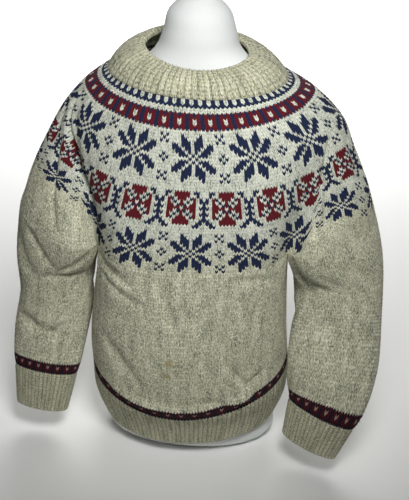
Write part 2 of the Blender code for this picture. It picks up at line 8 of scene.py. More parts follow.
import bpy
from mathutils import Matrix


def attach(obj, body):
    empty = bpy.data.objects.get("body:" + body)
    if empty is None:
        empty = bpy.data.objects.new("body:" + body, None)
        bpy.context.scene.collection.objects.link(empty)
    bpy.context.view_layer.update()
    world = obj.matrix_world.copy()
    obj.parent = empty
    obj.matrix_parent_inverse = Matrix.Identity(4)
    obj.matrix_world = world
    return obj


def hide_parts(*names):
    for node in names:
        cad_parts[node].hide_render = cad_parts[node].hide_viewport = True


bl_info = {
    "name": "Norwegian Sweater on a Dress Form",
    "version": (1, 0, 0),
    "blender": (4, 5, 0),
    "location": "View3D > Sidebar > Sweater",
    "description": "Knits a round-yoke sweater stitch by stitch, with its dress form and studio",
    "category": "Add Mesh",
}

import math

import bpy
import numpy as np
from bpy.props import FloatProperty, FloatVectorProperty, IntProperty, PointerProperty
from bpy.types import Operator, Panel, PropertyGroup
from mathutils import Matrix, Vector

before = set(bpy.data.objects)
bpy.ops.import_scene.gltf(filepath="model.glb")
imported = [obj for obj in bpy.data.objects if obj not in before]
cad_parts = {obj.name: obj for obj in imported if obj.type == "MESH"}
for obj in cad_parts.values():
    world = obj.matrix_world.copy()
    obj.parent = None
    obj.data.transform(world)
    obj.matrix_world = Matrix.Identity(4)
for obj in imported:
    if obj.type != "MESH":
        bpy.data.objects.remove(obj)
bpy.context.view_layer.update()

# The middle of the sections in x and y, which the frame has at its origin.
CENTRE = np.array([0.00301, -0.01097, 0.0])

DENSE = 1440            # points round a section before it is divided evenly
RISE_POWER = 1.6        # how late a ring's height turns from the sides to the front or back
TAKE_OVER = 0.45        # share of a piece's length over which it leaves the join's outline
SLEEVE_SQUARE = 2.1     # power of a sleeve's outline, 2 for an ellipse
NEAR = 0.01             # a small share of the way along, to find a direction
MIRROR = np.array([-1.0, 1.0, 1.0])

# Rows and columns of the smooth grids that the stitches are laid over.
YOKE_GRID = (121, 1152)
BODY_GRID = (101, 1152)
SLEEVE_GRID = (111, 640)
HEM_GRID = (17, 1152)
COLLAR_GRID = (33, 896)
FORM_GRID = (160, 192)

# ---------------------------------------------------------------- sections
# along is a share of the piece's length, square is the outline's power, lean is a slope and
# turn is in degrees.

# The yoke's rings, from the collar seam (0) to the join with body and sleeves (1).
YOKE_RINGS = (
    ("along", "half_width", "front", "back", "height_front", "height_side", "height_back",
     "square", "middle_x", "lean", "crease_x", "notch", "notch_width"),
    (0.00, 0.141, 0.108, 0.104, 0.664, 0.674, 0.690, 2.1, -0.002, -0.03, 0.160, 0.000, 0.040),
    (0.17, 0.185, 0.115, 0.118, 0.614, 0.649, 0.645, 2.1, 0.001, 0.00, 0.182, 0.000, 0.040),
    (0.34, 0.222, 0.121, 0.126, 0.564, 0.611, 0.594, 2.1, 0.006, 0.00, 0.186, 0.004, 0.038),
    (0.55, 0.250, 0.126, 0.130, 0.504, 0.557, 0.535, 2.2, 0.004, 0.00, 0.180, 0.018, 0.034),
    (0.78, 0.279, 0.130, 0.130, 0.437, 0.495, 0.473, 2.2, 0.002, 0.01, 0.167, 0.036, 0.029),
    (1.00, 0.297, 0.131, 0.127, 0.376, 0.436, 0.410, 2.2, 0.000, 0.02, 0.156, 0.052, 0.022),
)
CREASE_START = 0.30     # above this the creases run on in the same columns
CREASE_SOFT = 2.0       # power of a crease's profile where it is soft, near the collar
CREASE_SHARP = 1.2      # and where it is a sharp fold, at the join
CREASE_LATE = 6         # how late it sharpens
UNDERARM_SAG = 0.008    # how far the grafted underarm hangs below the creases' ends
UNDERARM_POINTS = 48
JOIN_POINTS = 8         # points along the join for each column of the folds' shares

# The body's level sections, from the underarm down to the edge of the hem rib.
BODY_SECTIONS = (
    ("height", "half_width", "front", "back", "square", "middle_x"),
    (0.420, 0.154, 0.131, 0.127, 2.9, -0.003),
    (0.300, 0.164, 0.133, 0.118, 2.6, -0.006),
    (0.200, 0.171, 0.134, 0.113, 2.4, -0.008),
    (0.140, 0.172, 0.132, 0.111, 2.3, -0.004),
    (0.110, 0.172, 0.127, 0.109, 2.2, -0.003),
    (0.095, 0.170, 0.120, 0.107, 2.2, -0.002),
    (0.040, 0.150, 0.109, 0.098, 2.2, -0.001),
)
HEM_TOP = 0.107         # height where the hem rib meets the body, at the middle
HEM_EDGE = 0.045        # height of the rib's lower edge, at the middle
HEM_TOP_RISE = ((0.034, 1.4), (0.045, 2.0))   # how far its top rises to +X and -X, and how late
HEM_EDGE_RISE = ((0.008, 1.4), (0.010, 2.0))  # and its edge
HEM_LEAN = np.array([0.06, 0.16])  # how far the hem rises towards +X and +Y, over its run
BODY_LEVELS = 110       # levels read from the table, which heights in between are mixed from

# The sleeves' sections along their middle line, from the underarm to the cuff.
# middle_x is measured away from the body, turn is about the upright.
SLEEVE_HEADER = ("along", "middle_x", "middle_y", "height", "half_width", "half_depth", "turn")
LEFT_SLEEVE = (
    SLEEVE_HEADER,
    (0.00, 0.2265, -0.003, 0.415, 0.066, 0.085, 0.0),
    (0.26, 0.2440, -0.006, 0.335, 0.073, 0.070, 0.0),
    (0.52, 0.2480, -0.030, 0.258, 0.075, 0.058, -4.0),
    (0.77, 0.2440, -0.070, 0.178, 0.077, 0.046, -15.0),
    (0.95, 0.2360, -0.095, 0.122, 0.068, 0.038, -27.0),
    (1.00, 0.2316, -0.099, 0.107, 0.063, 0.036, -30.0),
)
RIGHT_SLEEVE = (
    SLEEVE_HEADER,
    (0.00, 0.2265, -0.003, 0.410, 0.066, 0.085, 0.0),
    (0.26, 0.2395, -0.003, 0.335, 0.066, 0.070, 0.0),
    (0.52, 0.2400, -0.008, 0.260, 0.064, 0.058, 2.0),
    (0.78, 0.2520, -0.022, 0.186, 0.064, 0.046, 6.0),
    (0.95, 0.2580, -0.036, 0.134, 0.060, 0.038, 10.0),
    (1.00, 0.2592, -0.0395, 0.121, 0.057, 0.036, 11.0),
)
LEFT_CUFF_LENGTH = 0.061
RIGHT_CUFF_LENGTH = 0.070
CUFF_TAPER = 0.825      # the cuff's edge against its seam
CUFF_LEVELS = 13

# Folds, and after them the sharper creases of the knitting itself: where each starts and
# where it ends, as shares of the way round and down, then half its width and its depth.
# A depth under 0 is a ridge.
YOKE_FOLDS = (
    (0.975, 0.24, 0.995, 0.62, 0.013, 0.0065), (0.94, 0.36, 0.965, 0.7, 0.011, 0.004),
    (0.88, 0.55, 0.9, 0.9, 0.014, 0.0035), (0.345, 0.48, 0.335, 0.84, 0.011, 0.0045),
    (0.42, 0.5, 0.405, 0.88, 0.014, 0.003), (0.055, 0.62, 0.03, 0.94, 0.01, 0.003),
    (0.56, 0.35, 0.59, 0.9, 0.018, 0.0035), (0.735, 0.4, 0.715, 0.88, 0.018, 0.0035),
    (0.944, 0.2, 0.964, 0.38, 0.006, 0.008), (0.964, 0.38, 0.988, 0.52, 0.006, 0.012),
    (0.988, 0.52, 1.006, 0.68, 0.006, 0.0125), (1.006, 0.68, 1.008, 0.92, 0.0055, 0.008),
    (0.955, 0.48, 0.962, 0.92, 0.005, 0.0055), (0.928, 0.3, 0.94, 0.55, 0.006, 0.0045),
    (0.327, 0.38, 0.318, 0.58, 0.006, 0.009), (0.318, 0.58, 0.322, 0.86, 0.006, 0.0095),
    (0.352, 0.6, 0.34, 0.8, 0.006, 0.0045), (0.372, 0.42, 0.388, 0.7, 0.008, 0.004),
    (0.478, 0.38, 0.488, 0.72, 0.0065, 0.0085), (0.822, 0.36, 0.812, 0.74, 0.0065, 0.0085),
    (0.862, 0.5, 0.85, 0.86, 0.007, 0.005),
)
BODY_FOLDS = (
    (0.02, 0.02, 0.11, 0.1, 0.009, 0.003), (0.3, 0.03, 0.37, 0.1, 0.01, 0.003),
    (0.275, 0.15, 0.262, 0.85, 0.02, 0.004), (0.24, 0.88, 0.3, 0.93, 0.008, 0.004),
    (0.1, 0.3, 0.075, 0.8, 0.022, 0.003), (0.56, 0.1, 0.6, 0.75, 0.02, 0.0045),
    (0.7, 0.25, 0.68, 0.9, 0.022, 0.004), (0.83, 0.05, 0.77, 0.14, 0.01, 0.0035),
    (0.012, 0.05, 0.105, 0.13, 0.007, 0.0035), (0.03, 0.14, 0.125, 0.24, 0.008, 0.003),
    (0.15, 0.05, 0.2, 0.42, 0.01, 0.0034), (0.235, 0.06, 0.252, 0.46, 0.009, 0.003),
    (0.262, 0.04, 0.27, 0.3, 0.008, -0.0025), (0.296, 0.03, 0.322, 0.34, 0.008, 0.004),
    (0.342, 0.08, 0.352, 0.5, 0.009, 0.0034), (0.288, 0.46, 0.298, 0.64, 0.008, 0.005),
    (0.298, 0.64, 0.338, 0.84, 0.007, 0.006), (0.338, 0.84, 0.38, 0.8, 0.007, 0.005),
    (0.045, 0.58, 0.115, 0.76, 0.014, 0.0045), (0.06, 0.925, 0.19, 0.935, 0.009, -0.006),
    (0.19, 0.935, 0.3, 0.93, 0.008, -0.005), (0.305, 0.935, 0.345, 0.925, 0.008, -0.0095),
    (0.545, 0.06, 0.585, 0.5, 0.01, 0.0036), (0.635, 0.05, 0.65, 0.44, 0.009, 0.0032),
    (0.705, 0.08, 0.69, 0.4, 0.009, 0.0036), (0.78, 0.12, 0.85, 0.05, 0.007, 0.0035),
    (0.61, 0.6, 0.67, 0.82, 0.009, 0.005), (0.56, 0.93, 0.7, 0.935, 0.009, -0.006),
    (0.7, 0.935, 0.83, 0.925, 0.0085, -0.005),
)
LEFT_FOLDS = (
    (0.02, 0.1, 0.09, 0.3, 0.012, 0.006), (0.22, 0.7, 0.34, 0.8, 0.01, 0.005),
    (0.05, 0.6, 0.16, 0.52, 0.012, 0.0035), (0.04, 0.9, 0.22, 0.93, 0.008, 0.003),
    (0.43, 0.3, 0.58, 0.45, 0.012, 0.0055), (0.48, 0.74, 0.62, 0.8, 0.01, 0.005),
    (0.8, 0.45, 0.93, 0.52, 0.012, 0.0045), (0.11, 0.54, 0.18, 0.8, 0.012, 0.0065),
    (0.18, 0.8, 0.205, 0.93, 0.009, 0.005), (0.15, 0.4, 0.31, 0.66, 0.007, 0.0034),
    (0.215, 0.56, 0.37, 0.65, 0.007, 0.004), (0.03, 0.08, 0.036, 0.36, 0.007, 0.004),
    (0.105, 0.1, 0.165, 0.34, 0.008, 0.0028), (0.26, 0.74, 0.345, 0.88, 0.008, 0.004),
    (0.43, 0.52, 0.56, 0.78, 0.009, 0.0055), (0.48, 0.08, 0.6, 0.26, 0.008, 0.004),
    (0.64, 0.34, 0.56, 0.56, 0.008, 0.0034),
)
RIGHT_FOLDS = (
    (0.01, 0.27, 0.14, 0.3, 0.009, 0.006), (0.33, 0.14, 0.2, 0.34, 0.013, 0.0045),
    (0.3, 0.68, 0.03, 0.76, 0.01, 0.005), (0.06, 0.88, 0.24, 0.92, 0.008, 0.003),
    (0.42, 0.26, 0.56, 0.4, 0.012, 0.0055), (0.45, 0.7, 0.6, 0.78, 0.01, 0.005),
    (0.79, 0.4, 0.92, 0.5, 0.012, 0.0045), (0.272, 0.01, 0.14, 0.2, 0.007, 0.0045),
    (0.027, 0.03, 0.112, 0.24, 0.0065, 0.0055), (0.04, 0.66, 0.165, 0.84, 0.0075, 0.005),
    (0.205, 0.7, 0.13, 0.8, 0.006, 0.0035), (0.085, 0.35, 0.11, 0.6, 0.008, 0.0028),
    (0.18, 0.3, 0.215, 0.52, 0.008, 0.0026), (0.52, 0.05, 0.42, 0.22, 0.007, 0.0045),
    (0.61, 0.62, 0.5, 0.82, 0.0075, 0.005), (0.56, 0.36, 0.5, 0.56, 0.008, 0.003),
)
FOLD_FADE = 0.05        # share of a piece over which folds die out before a seam
FOLD_TAPER = 0.5        # how much shallower a fold is at its ends

# The columns that the folds' shares count on: fronts and backs, sleeves and underarms.
FRONT_COLUMNS = 30
SLEEVE_COLUMNS = 20
UNDERARM_COLUMNS = 6

# How far the pattern is drawn up over the sleeves, where the yoke's slack goes into folds:
# shares of the way round that folds use, each with a share of the yoke's depth at its edge.
SLEEVE_LIFT = (
    (0.000, 0.04), (0.006, 0.00), (0.310, 0.00), (0.326, 0.18), (0.340, 0.19), (0.360, 0.16),
    (0.388, 0.06), (0.420, 0.04), (0.455, 0.09), (0.480, 0.10), (0.494, 0.00), (0.797, 0.00),
    (0.814, 0.20), (0.860, 0.26), (0.930, 0.30), (0.955, 0.29), (0.978, 0.26), (0.991, 0.18),
    (1.000, 0.04),
)
LIFT_LATE = 2.2         # how late down the yoke it comes in
LEAST_LIFT = 0.008      # no plain rows are added where it is less
SLEEVE_TOP_ROWS = 15    # plain rows between the pattern and the sleeve's own first row

# The dress form's level sections, from its flat base to the top of its neck.
FORM_SECTIONS = (
    ("height", "half_width", "front", "back", "middle_x", "middle_y", "square"),
    (0.000, 0.134, 0.080, 0.074, 0.000, 0.000, 2.2),
    (0.006, 0.143, 0.088, 0.080, 0.000, 0.000, 2.2),
    (0.040, 0.146, 0.096, 0.084, 0.000, 0.000, 2.2),
    (0.120, 0.150, 0.102, 0.090, 0.000, 0.000, 2.2),
    (0.270, 0.124, 0.088, 0.082, 0.000, 0.000, 2.2),
    (0.420, 0.142, 0.112, 0.096, 0.000, 0.000, 2.3),
    (0.530, 0.168, 0.100, 0.100, 0.000, 0.000, 2.4),
    (0.590, 0.184, 0.084, 0.090, 0.000, 0.000, 2.3),
    (0.620, 0.190, 0.072, 0.082, 0.000, 0.004, 2.1),
    (0.645, 0.176, 0.064, 0.072, 0.000, 0.006, 2.0),
    (0.665, 0.127, 0.060, 0.064, 0.000, 0.008, 2.0),
    (0.686, 0.090, 0.058, 0.058, -0.001, 0.010, 2.0),
    (0.708, 0.068, 0.055, 0.055, -0.002, 0.010, 2.0),
    (0.740, 0.057, 0.053, 0.053, -0.001, 0.010, 2.0),
    (0.770, 0.047, 0.044, 0.044, -0.002, 0.010, 2.0),
    (0.792, 0.025, 0.024, 0.024, -0.002, 0.010, 2.0),
)
BASE_RINGS = (0.9, 0.6, 0.3, 0.02)   # sizes of the rings that close the base, against its edge
TOP_RINGS = (0.02, 0.35, 0.7)        # and of those that close the top

# The collar's folded edge.
COLLAR_RIM = {
    "half_width": 0.087, "front": 0.076, "back": 0.076, "square": 2.0, "middle_x": -0.004,
    "height_front": 0.694, "height_side": 0.708, "height_back": 0.722, "lean": -0.07,
}
COLLAR_BULGE = 0.008    # how far the doubled wall bows out
COLLAR_TURN = 0.5       # share of its height over which it turns out of the yoke's slope

# ---------------------------------------------------------------- knitting charts
# Each letter is one stitch: cream ground ".", navy "N", red "R", white "W". The white of
# the narrow bands at hem and cuffs is a yarn of its own.
YARN_LETTERS = {".": 0, "N": 1, "R": 2, "W": 0}
EDGE_LETTERS = {"N": 1, "R": 2, "W": 3}

STAR_HALF = (
    "...N.....N...",
    "...NN...NN...",
    "...NNN.NNN...",
    "NN.NNN.NNN.NN",
    "NNN.NN.NN.NNN",
    ".NNN.N.N.NNN.",
    "..NNN.N.NNN..",
    ".....N.N.....",
)
STAR = STAR_HALF + STAR_HALF[-2::-1]
SALTIRE = ("N.N", ".N.", "N.N")
DIAMOND = (".N.", "N.N", ".N.")
CROSS_HALF = (
    "..RRRRR..",
    "..RRRRR..",
    "RN.RRR.NR",
    "R.N.R.N.R",
    "RR.NRN.RR",
    "RRRR.RRRR",
)
CROSS = CROSS_HALF + CROSS_HALF[-2::-1]
BRANCH = (
    "NN...NN",
    ".N...N.",
    "..N.N..",
    "..NNN..",
    "...N...",
    "..NNN..",
    "...N...",
    "..NNN..",
    "...N...",
    "..NNN..",
    ".NN.NN.",
    "NN...NN",
)
DASHES = (".N", ".N", "NN", "..", "..")
BAR_BAND = ("NRNR", "NRRR", "NRWR", "NRWR", "NRRR", "NRNR")
EDGE_BAND = ("NRNR", "NRWR", "NRRR", "NNRN")


def motif_cell(rows, repeat, motifs):
    """One repeat of a band: its motifs, each given by its top row and its middle column."""
    cell = np.zeros((rows, repeat), int)
    for chart, top, middle in motifs:
        for down, line in enumerate(chart):
            for across, letter in enumerate(line):
                if letter != ".":
                    cell[top + down, (middle - len(line) // 2 + across) % repeat] = YARN_LETTERS[letter]
    return cell


def plain_cell(chart, letters):
    """One repeat of a narrow band, straight from its chart."""
    return np.array([[letters[letter] for letter in line] for line in chart])


STAR_MOTIFS = ((STAR, 1, 0), (SALTIRE, 1, 9), (DIAMOND, 7, 9), (SALTIRE, 13, 9))
EDGE_CELL = plain_cell(EDGE_BAND, EDGE_LETTERS)

# The yoke's bands from the collar down: name, cell, stitches, where each starts and ends
# along the yoke, and the share of the ring at which the middle of its first stitch lies.
YOKE_BANDS = (
    ("yoke_neck_dashes", plain_cell(DASHES, YARN_LETTERS), 124, 0.000, 0.075, 0.0007),
    ("yoke_neck_bars", plain_cell(BAR_BAND, YARN_LETTERS), 156, 0.075, 0.165, 0.0181),
    ("yoke_upper_stars", motif_cell(18, 18, STAR_MOTIFS), 216, 0.165, 0.478, -0.0008),
    ("yoke_crosses", motif_cell(14, 14, ((CROSS, 1, 0), (BRANCH, 1, 7))), 252, 0.478, 0.722, -0.0125),
    ("yoke_lower_stars", motif_cell(17, 18, STAR_MOTIFS), 288, 0.722, 1.000, 0.0015),
)
YOKE_ROWS = sum(len(band[1]) for band in YOKE_BANDS)
PAINTED_LIGHT_FADE_ROWS = 14   # painted light: the yoke's lighter ground fades into the body's shades over its last rows

# Bands of a sleeve from the top, each with fewer stitches: share of the rows and stitches.
SLEEVE_BANDS = ((0.34, 88), (0.33, 80), (0.33, 72))
# The number of the first row of body, band and sleeves, so that their flecks differ.
BODY_FIRST_ROW = 100
HEM_BAND_FIRST_ROW = 200
SLEEVE_FIRST_ROW = 300
SEEDS = {"yoke": 11, "body": 23, "left": 31, "right": 37, "hem": 41, "collar": 43}

# Faint rusty marks of age on the front: middle, reach and shade.
RUSTY_SPOTS = (((-0.030, -0.120, 0.205), 0.009, "#957a1c"), ((-0.036, -0.120, 0.180), 0.008, "#8f7622"))


# ---------------------------------------------------------------- curves
def named(table, name):
    """One column of a table whose first row holds the column names."""
    place = table[0].index(name)
    return np.array([row[place] for row in table[1:]])


def smooth_through(knots, values, at):
    """A smooth curve through the values at the knots, read at the places given."""
    slopes = np.gradient(values, knots)
    at = np.clip(np.asarray(at, float), knots[0], knots[-1])
    left = np.clip(np.searchsorted(knots, at, side="right") - 1, 0, len(knots) - 2)
    span = knots[left + 1] - knots[left]
    t = (at - knots[left]) / span
    start = values[left] * (2 * t**3 - 3 * t**2 + 1) + slopes[left] * span * (t**3 - 2 * t**2 + t)
    end = values[left + 1] * (3 * t**2 - 2 * t**3) + slopes[left + 1] * span * (t**3 - t**2)
    return start + end


def read_table(table, key, at, flip=False):
    """Every column of a table as a smooth curve of its key column, read at one place or more."""
    order = slice(None, None, -1 if flip else 1)
    knots = named(table, key)[order]
    return {name: smooth_through(knots, named(table, name)[order], at) for name in table[0] if name != key}


def ease(t):
    """From 0 to 1 with level ends."""
    t = np.clip(t, 0.0, 1.0)
    return t * t * (3.0 - 2.0 * t)


def eased_through(knots, values, at):
    """Through the values at the knots without passing beyond them."""
    left = np.clip(np.searchsorted(knots, at, side="right") - 1, 0, len(knots) - 2)
    share = ease((at - knots[left]) / (knots[left + 1] - knots[left]))
    return values[left] + (values[left + 1] - values[left]) * share


def outline(half_width, front, back, square):
    """A rounded loop seen from above, from its front middle round by +X."""
    angle = np.linspace(0.0, 2.0 * math.pi, DENSE, endpoint=False)
    across, along = np.sin(angle), -np.cos(angle)
    x = half_width * np.sign(across) * np.abs(across) ** (2.0 / square)
    y = np.sign(along) * np.abs(along) ** (2.0 / square)
    return x, y * np.where(y < 0.0, front, back)


def table_outline(size):
    """The outline of a section from the sizes of its table."""
    return outline(size["half_width"], size["front"], size["back"], size["square"])


def level_points(size, shares):
    """Points of a level section at the given shares of its length."""
    x, y = table_outline(size)
    return even_points(np.stack([x + size["middle_x"], y + size.get("middle_y", 0.0)], axis=1), shares)


def ring_heights(size, x, y):
    """Heights round a ring that rises from its front and back to its sides, and leans."""
    forward = np.clip(-y / size["front"], 0.0, 1.0) ** RISE_POWER
    backward = np.clip(y / size["back"], 0.0, 1.0) ** RISE_POWER
    z = size["height_side"] + forward * (size["height_front"] - size["height_side"])
    return z + backward * (size["height_back"] - size["height_side"]) + size["lean"] * x


def loop_lengths(loop):
    """The length along a closed loop at each of its points, and at its end."""
    closed = np.vstack([loop, loop[:1]])
    steps = np.linalg.norm(np.diff(closed, axis=0), axis=1)
    return closed, np.concatenate([[0.0], np.cumsum(steps)])


def even_points(loop, shares):
    """Points of a closed loop at the given shares of its length."""
    closed, length = loop_lengths(loop)
    at = np.mod(shares, 1.0) * length[-1]
    return np.stack([np.interp(at, length, closed[:, axis]) for axis in range(closed.shape[1])], axis=1)


def even_shares(columns):
    return np.arange(columns) / columns


def polyline_length(points):
    return float(np.linalg.norm(np.diff(points, axis=0), axis=1).sum())


def unit(vectors):
    return vectors / np.linalg.norm(vectors, axis=-1, keepdims=True)


def tube_normals(grid):
    """Directions out of a wall whose rows run down and whose columns run round."""
    round_step = np.roll(grid, -1, axis=1) - np.roll(grid, 1, axis=1)
    return unit(np.cross(np.gradient(grid, axis=0), round_step))


# ---------------------------------------------------------------- the cloth's surfaces
class Cloth:
    """A smooth tube of cloth, rows running down and columns round, read at any place on it."""

    def __init__(self, points, lift=None):
        self.points = points
        self.lift = lift
        self.normals = tube_normals(points)
        self.drop = polyline_length(points[:, 0])
        self.girths = np.array([loop_lengths(row)[1][-1] for row in points])

    def sample(self, grid, down, share):
        """One of the cloth's grids at the shares given; down may run a little past the ends."""
        rows, columns = grid.shape[0] - 1, grid.shape[1]
        row_at = down * rows
        row = np.clip(np.floor(row_at), 0, rows - 1).astype(int)
        row_part = row_at - row
        column_at = np.mod(share, 1.0) * columns
        column = np.floor(column_at).astype(int) % columns
        column_part = column_at - np.floor(column_at)
        if grid.ndim == 3:
            row_part, column_part = row_part[..., None], column_part[..., None]
        upper, lower = (grid[level, column] * (1 - column_part)
                        + grid[level, (column + 1) % columns] * column_part for level in (row, row + 1))
        return upper + (lower - upper) * row_part

    def read(self, down, share):
        """Points and outward directions at the shares given."""
        return self.sample(self.points, down, share), unit(self.sample(self.normals, down, share))

    def settle(self, down, share):
        """Where the pattern's rows lie once they are drawn up over the sleeves."""
        if self.lift is None:
            return down
        return down - self.sample(self.lift, down, share) * np.clip(down, 0.0, 1.0) ** LIFT_LATE

    def mirrored(self):
        """The same cloth on the other side of the body."""
        return Cloth(self.points[:, ::-1] * MIRROR)

    def sunk(self, depth):
        """The same cloth moved inwards."""
        return Cloth(self.points - self.normals * depth)


def yoke_ring(along):
    """One dense ring of the yoke with its creases, from the front middle round by +X."""
    size = read_table(YOKE_RINGS, "along", along)
    x, y = table_outline(size)
    z = ring_heights(size, x, y)
    edge = CREASE_SOFT + (CREASE_SHARP - CREASE_SOFT) * along**CREASE_LATE
    pull = np.exp(-((np.abs(np.abs(x) - size["crease_x"]) / size["notch_width"]) ** edge))
    y = y - np.sign(y) * pull * size["notch"]
    return np.stack([x + size["middle_x"], y, z], axis=1)


def crease_stops(along):
    """Where a ring's creases lie as shares of its length: front -X, front +X, back +X, back -X, front -X."""
    along = max(along, CREASE_START)
    size = read_table(YOKE_RINGS, "along", along)
    ring = yoke_ring(along)
    length = loop_lengths(ring)[1]
    sideways = np.abs(ring[:, 0] - size["middle_x"])
    sideways = np.append(sideways, sideways[0])
    quarter = DENSE // 4
    shares = []
    for part in range(4):
        span = np.arange(part * quarter, (part + 1) * quarter + 1)
        order = slice(None, None, 1 if part in (0, 2) else -1)
        place = np.interp(float(size["crease_x"]), sideways[span][order], length[span][order])
        shares.append(place / length[-1])
    return [shares[-1] - 1.0] + shares


def sink_folds(grid, folds, across, fade_top, fade_bottom):
    """Move a grid inwards along its folds; across holds each point's share of the way round."""
    rows = grid.shape[0]
    girth = loop_lengths(grid[rows // 2])[1][-1]
    drop = polyline_length(grid[:, 0])
    down = np.linspace(0.0, 1.0, rows)[:, None] + np.zeros_like(across)
    sink = np.zeros(across.shape)
    for from_round, from_down, to_round, to_down, half_width, depth in folds:
        line = np.array([(to_round - from_round) * girth, (to_down - from_down) * drop])
        round_gap = np.mod(across - from_round + 0.5, 1.0) - 0.5
        spot = np.stack([round_gap * girth, (down - from_down) * drop])
        share = np.tensordot(line, spot, axes=1) / np.dot(line, line)
        inside = np.clip(share, 0.0, 1.0)
        away = spot - line[:, None, None] * inside
        distance = np.sqrt((away**2).sum(axis=0)) / half_width
        taper = 1.0 - FOLD_TAPER * (2.0 * inside - 1.0) ** 2
        sink += depth * taper * np.exp(-(distance**2))
    if fade_top:
        sink *= ease(down / FOLD_FADE)
    if fade_bottom:
        sink *= ease((1.0 - down) / FOLD_FADE)
    return grid - tube_normals(grid) * sink[:, :, None]


def yoke_cloth():
    """The yoke with its folds, and how far the pattern is drawn up over the sleeves."""
    rows, columns = YOKE_GRID
    alongs = np.linspace(0.0, 1.0, rows)
    shares = even_shares(columns)
    grid = np.stack([even_points(yoke_ring(along), shares) for along in alongs])
    counts = np.cumsum([0, FRONT_COLUMNS, SLEEVE_COLUMNS, FRONT_COLUMNS, SLEEVE_COLUMNS])
    across = []
    for along in alongs:
        stops = crease_stops(along)
        wrapped = np.where(shares > stops[-1], shares - 1.0, shares)
        across.append(np.interp(wrapped, stops, counts / counts[-1]))
    across = np.stack(across)
    lift = eased_through(*np.array(SLEEVE_LIFT).T, across)
    return Cloth(sink_folds(grid, YOKE_FOLDS, across, False, True), lift)


def join_stretches():
    """The yoke's last ring as four stretches between its creases, both ends included."""
    ring = yoke_ring(1.0)
    stops = crease_stops(1.0)
    counts = (JOIN_POINTS * FRONT_COLUMNS, JOIN_POINTS * SLEEVE_COLUMNS) * 2
    return [even_points(ring, np.linspace(stops[n], stops[n + 1], counts[n] + 1)) for n in range(4)]


def underarm(start, end):
    """Points between two ends of an armhole, without the ends."""
    share = (np.arange(1, UNDERARM_POINTS) / UNDERARM_POINTS)[:, None]
    return start + (end - start) * share - np.array([0.0, 0.0, UNDERARM_SAG]) * np.sin(math.pi * share)


def join_pieces():
    """The armholes' and the body's top edges, from the yoke's last ring."""
    front, left, back, right = join_stretches()
    return front, left, back, right, underarm(front[-1], back[0]), underarm(back[-1], front[0])


def folds_across(shares, rows, lengths, counts):
    """Each point's share of the way round as its folds count it: by columns, not by length."""
    by_length, by_column = (np.concatenate([[0.0], np.cumsum(part)]) / np.sum(part)
                            for part in (lengths, counts))
    return np.tile(np.interp(shares, by_length, by_column), (rows, 1))


def body_points(shares):
    """A reader of the body's level sections, which takes one height for each share round."""
    heights = named(BODY_SECTIONS, "height")
    knots = np.linspace(heights[-1], heights[0], BODY_LEVELS)
    levels = np.stack([level_points(read_table(BODY_SECTIONS, "height", height, flip=True), shares)
                       for height in knots])
    every = np.arange(len(shares))

    def wall_points(heights):
        at = np.clip((heights - knots[0]) / (knots[1] - knots[0]), 0.0, len(knots) - 1.001)
        low = at.astype(int)
        part = (at - low)[:, None]
        return levels[low, every] * (1 - part) + levels[low + 1, every] * part

    return wall_points


def hem_heights(middle, rises, shares):
    """Heights of the hem's top or edge round the body, which rise from the middles to the sides."""
    sideways = np.sin(2.0 * math.pi * shares)
    left, right = (rise * np.abs(sideways) ** late for rise, late in rises)
    return middle + np.where(sideways > 0.0, left, right)


def body_cloth(front, under_left, back, under_right):
    """The body from the join down to the hem rib, which leaves the join's outline as it falls."""
    rows, columns = BODY_GRID
    loop = np.vstack([front, under_left, back, under_right])
    front_length = polyline_length(front)
    under_length = polyline_length(np.vstack([front[-1:], under_left, back[:1]]))
    shares = even_shares(columns)
    top = even_points(loop, shares)
    turned = shares - 0.5 * front_length / loop_lengths(loop)[1][-1]
    wall_points = body_points(turned)
    offset = top[:, :2] - wall_points(top[:, 2])
    seam = hem_heights(HEM_TOP, HEM_TOP_RISE, turned)
    rise = wall_points(seam) @ HEM_LEAN
    grid = []
    for down in np.linspace(0.0, 1.0, rows):
        heights = top[:, 2] + (seam - top[:, 2]) * down
        level = wall_points(heights) + offset * (1.0 - ease(down / TAKE_OVER))
        grid.append(np.column_stack([level, heights + rise * down]))
    across = folds_across(shares, rows, (front_length, under_length) * 2,
                          (FRONT_COLUMNS, UNDERARM_COLUMNS) * 2)
    return Cloth(sink_folds(np.stack(grid), BODY_FOLDS, across, True, True))


def sleeve_frame(table, along):
    """Middle point, run, sideways and depth directions and half sizes of one sleeve section."""
    size, before, after = (read_table(table, "along", min(max(at, 0.0), 1.0))
                           for at in (along, along - NEAR, along + NEAR))
    names = ("middle_x", "middle_y", "height")
    middle = np.array([float(size[name]) for name in names])
    run = unit(np.array([float(after[name] - before[name]) for name in names]))
    turn = math.radians(float(size["turn"]))
    sideways = np.array([math.cos(turn), math.sin(turn), 0.0])
    sideways = unit(sideways - run * np.dot(run, sideways))
    depth = np.cross(sideways, run)
    return middle, run, sideways, depth, float(size["half_width"]), float(size["half_depth"])


def sleeve_section(table, along, shares):
    """Points round one section of a sleeve, from its front middle round by its outer side."""
    middle, _, sideways, depth, half_width, half_depth = sleeve_frame(table, along)
    x, y = outline(half_width, half_depth, half_depth, SLEEVE_SQUARE)
    level = even_points(np.stack([x, y], axis=1), shares)
    return middle + level[:, :1] * sideways + level[:, 1:] * depth


